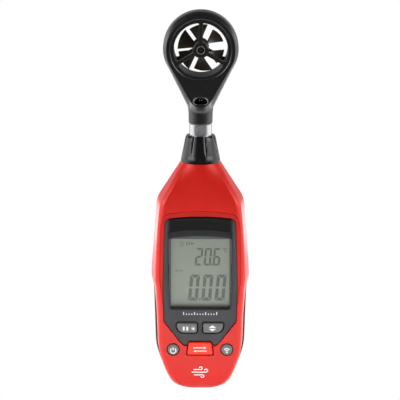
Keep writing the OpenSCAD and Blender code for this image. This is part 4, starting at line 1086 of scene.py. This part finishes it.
# Floor that the camera looks through, with its own pattern of light for mirror rays
floor_mat = bpy.data.materials.new("studio_floor")
floor_mat.use_nodes = True
nt = floor_mat.node_tree
nt.nodes.clear()
matte = fill(nt.nodes.new("ShaderNodeBsdfDiffuse"), Color=(0.86, 0.86, 0.86, 1))
x, y, _ = split(nt, "Object")
across = calc(nt, "ABSOLUTE", x)
behind = calc(nt, "MULTIPLY", span(nt, y, 0.24, 0.33, 0.0, 2.2), span(nt, y, 0.42, 0.56, 1.0, 0.0),
              span(nt, across, 0.13, 0.22, 1.7, 0.6))
near = calc(nt, "MULTIPLY", calc(nt, "ADD", span(nt, y, -0.3, -0.02, 0.05, 1.4), behind),
            span(nt, across, 0.13, 0.3, 1.35, 0.5), span(nt, y, 0.38, 0.5, 1.0, 0.55))
sides = calc(nt, "MULTIPLY", span(nt, across, 0.32, 0.42, 0.0, 0.8), span(nt, y, -0.36, -0.16, 0.0, 1.0),
             span(nt, y, 0.28, 0.42, 1.0, 0.0))
gloss = glow(nt, "ShaderNodeEmission", calc(nt, "ADD", near, sides))
both_rays = by_ray(nt, matte, gloss, nt.nodes.new("ShaderNodeBsdfTransparent"))
nt.links.new(both_rays.outputs[0], nt.nodes.new("ShaderNodeOutputMaterial").inputs["Surface"])
mesh = bpy.data.meshes.new("floor")
FLOOR_Z = -0.0004
mesh.from_pydata([(x, y, FLOOR_Z) for x, y in bar(-3, 3, -3, 3)], [], [(0, 1, 2, 3)])
mesh.materials.append(floor_mat)
floor = bpy.data.objects.new("floor", mesh)
scene.collection.objects.link(floor)

emitter("key_lamp", (0.8, 0.5), (-0.3, -1.3, 0.3), (0, 0, 0.07), 3.0, False)
emitter("left_lamp", (1.6, 0.7), (-0.95, 0.3, 0.14), (0, 0.05, 0.1), 4.6)
emitter("right_lamp", (1.6, 0.7), (0.95, 0.3, 0.14), (0, 0.05, 0.1), 3.6)
emitter("bounce_lamp", (0.2, 0.06), (0, -0.075, 0.002), (0, -0.01, 0.05), 0.12, False)
emitter("left_fill", (0.5, 0.5), (-0.95, -0.1, 0.35), (0, 0, 0.08), 6.6, False)
emitter("right_fill", (0.5, 0.5), (0.95, -0.1, 0.35), (0, 0, 0.08), 7, False)

# Camera of the photograph, in metres; the view is a square of twice VIEW_HALF at the distance of the meter
TILT, DISTANCE, AIM_Z, ROLL = math.radians(13), 0.9, 0.088, math.radians(0.16)
VIEW_HALF, SENSOR = 0.0922, 36
camera = bpy.data.objects.new("camera", bpy.data.cameras.new("camera"))
scene.collection.objects.link(camera)
camera.location = (0, -DISTANCE * COS(TILT), AIM_Z + DISTANCE * SIN(TILT))
camera.rotation_euler = (PI / 2 - TILT, 0, 0)
camera.rotation_euler.rotate_axis("Z", ROLL)
camera.data.lens = SENSOR * DISTANCE / (2 * VIEW_HALF)
camera.data.shift_x = -0.001
camera.data.shift_y = -0.00125
camera.data.clip_start = 0.01
scene.camera = camera
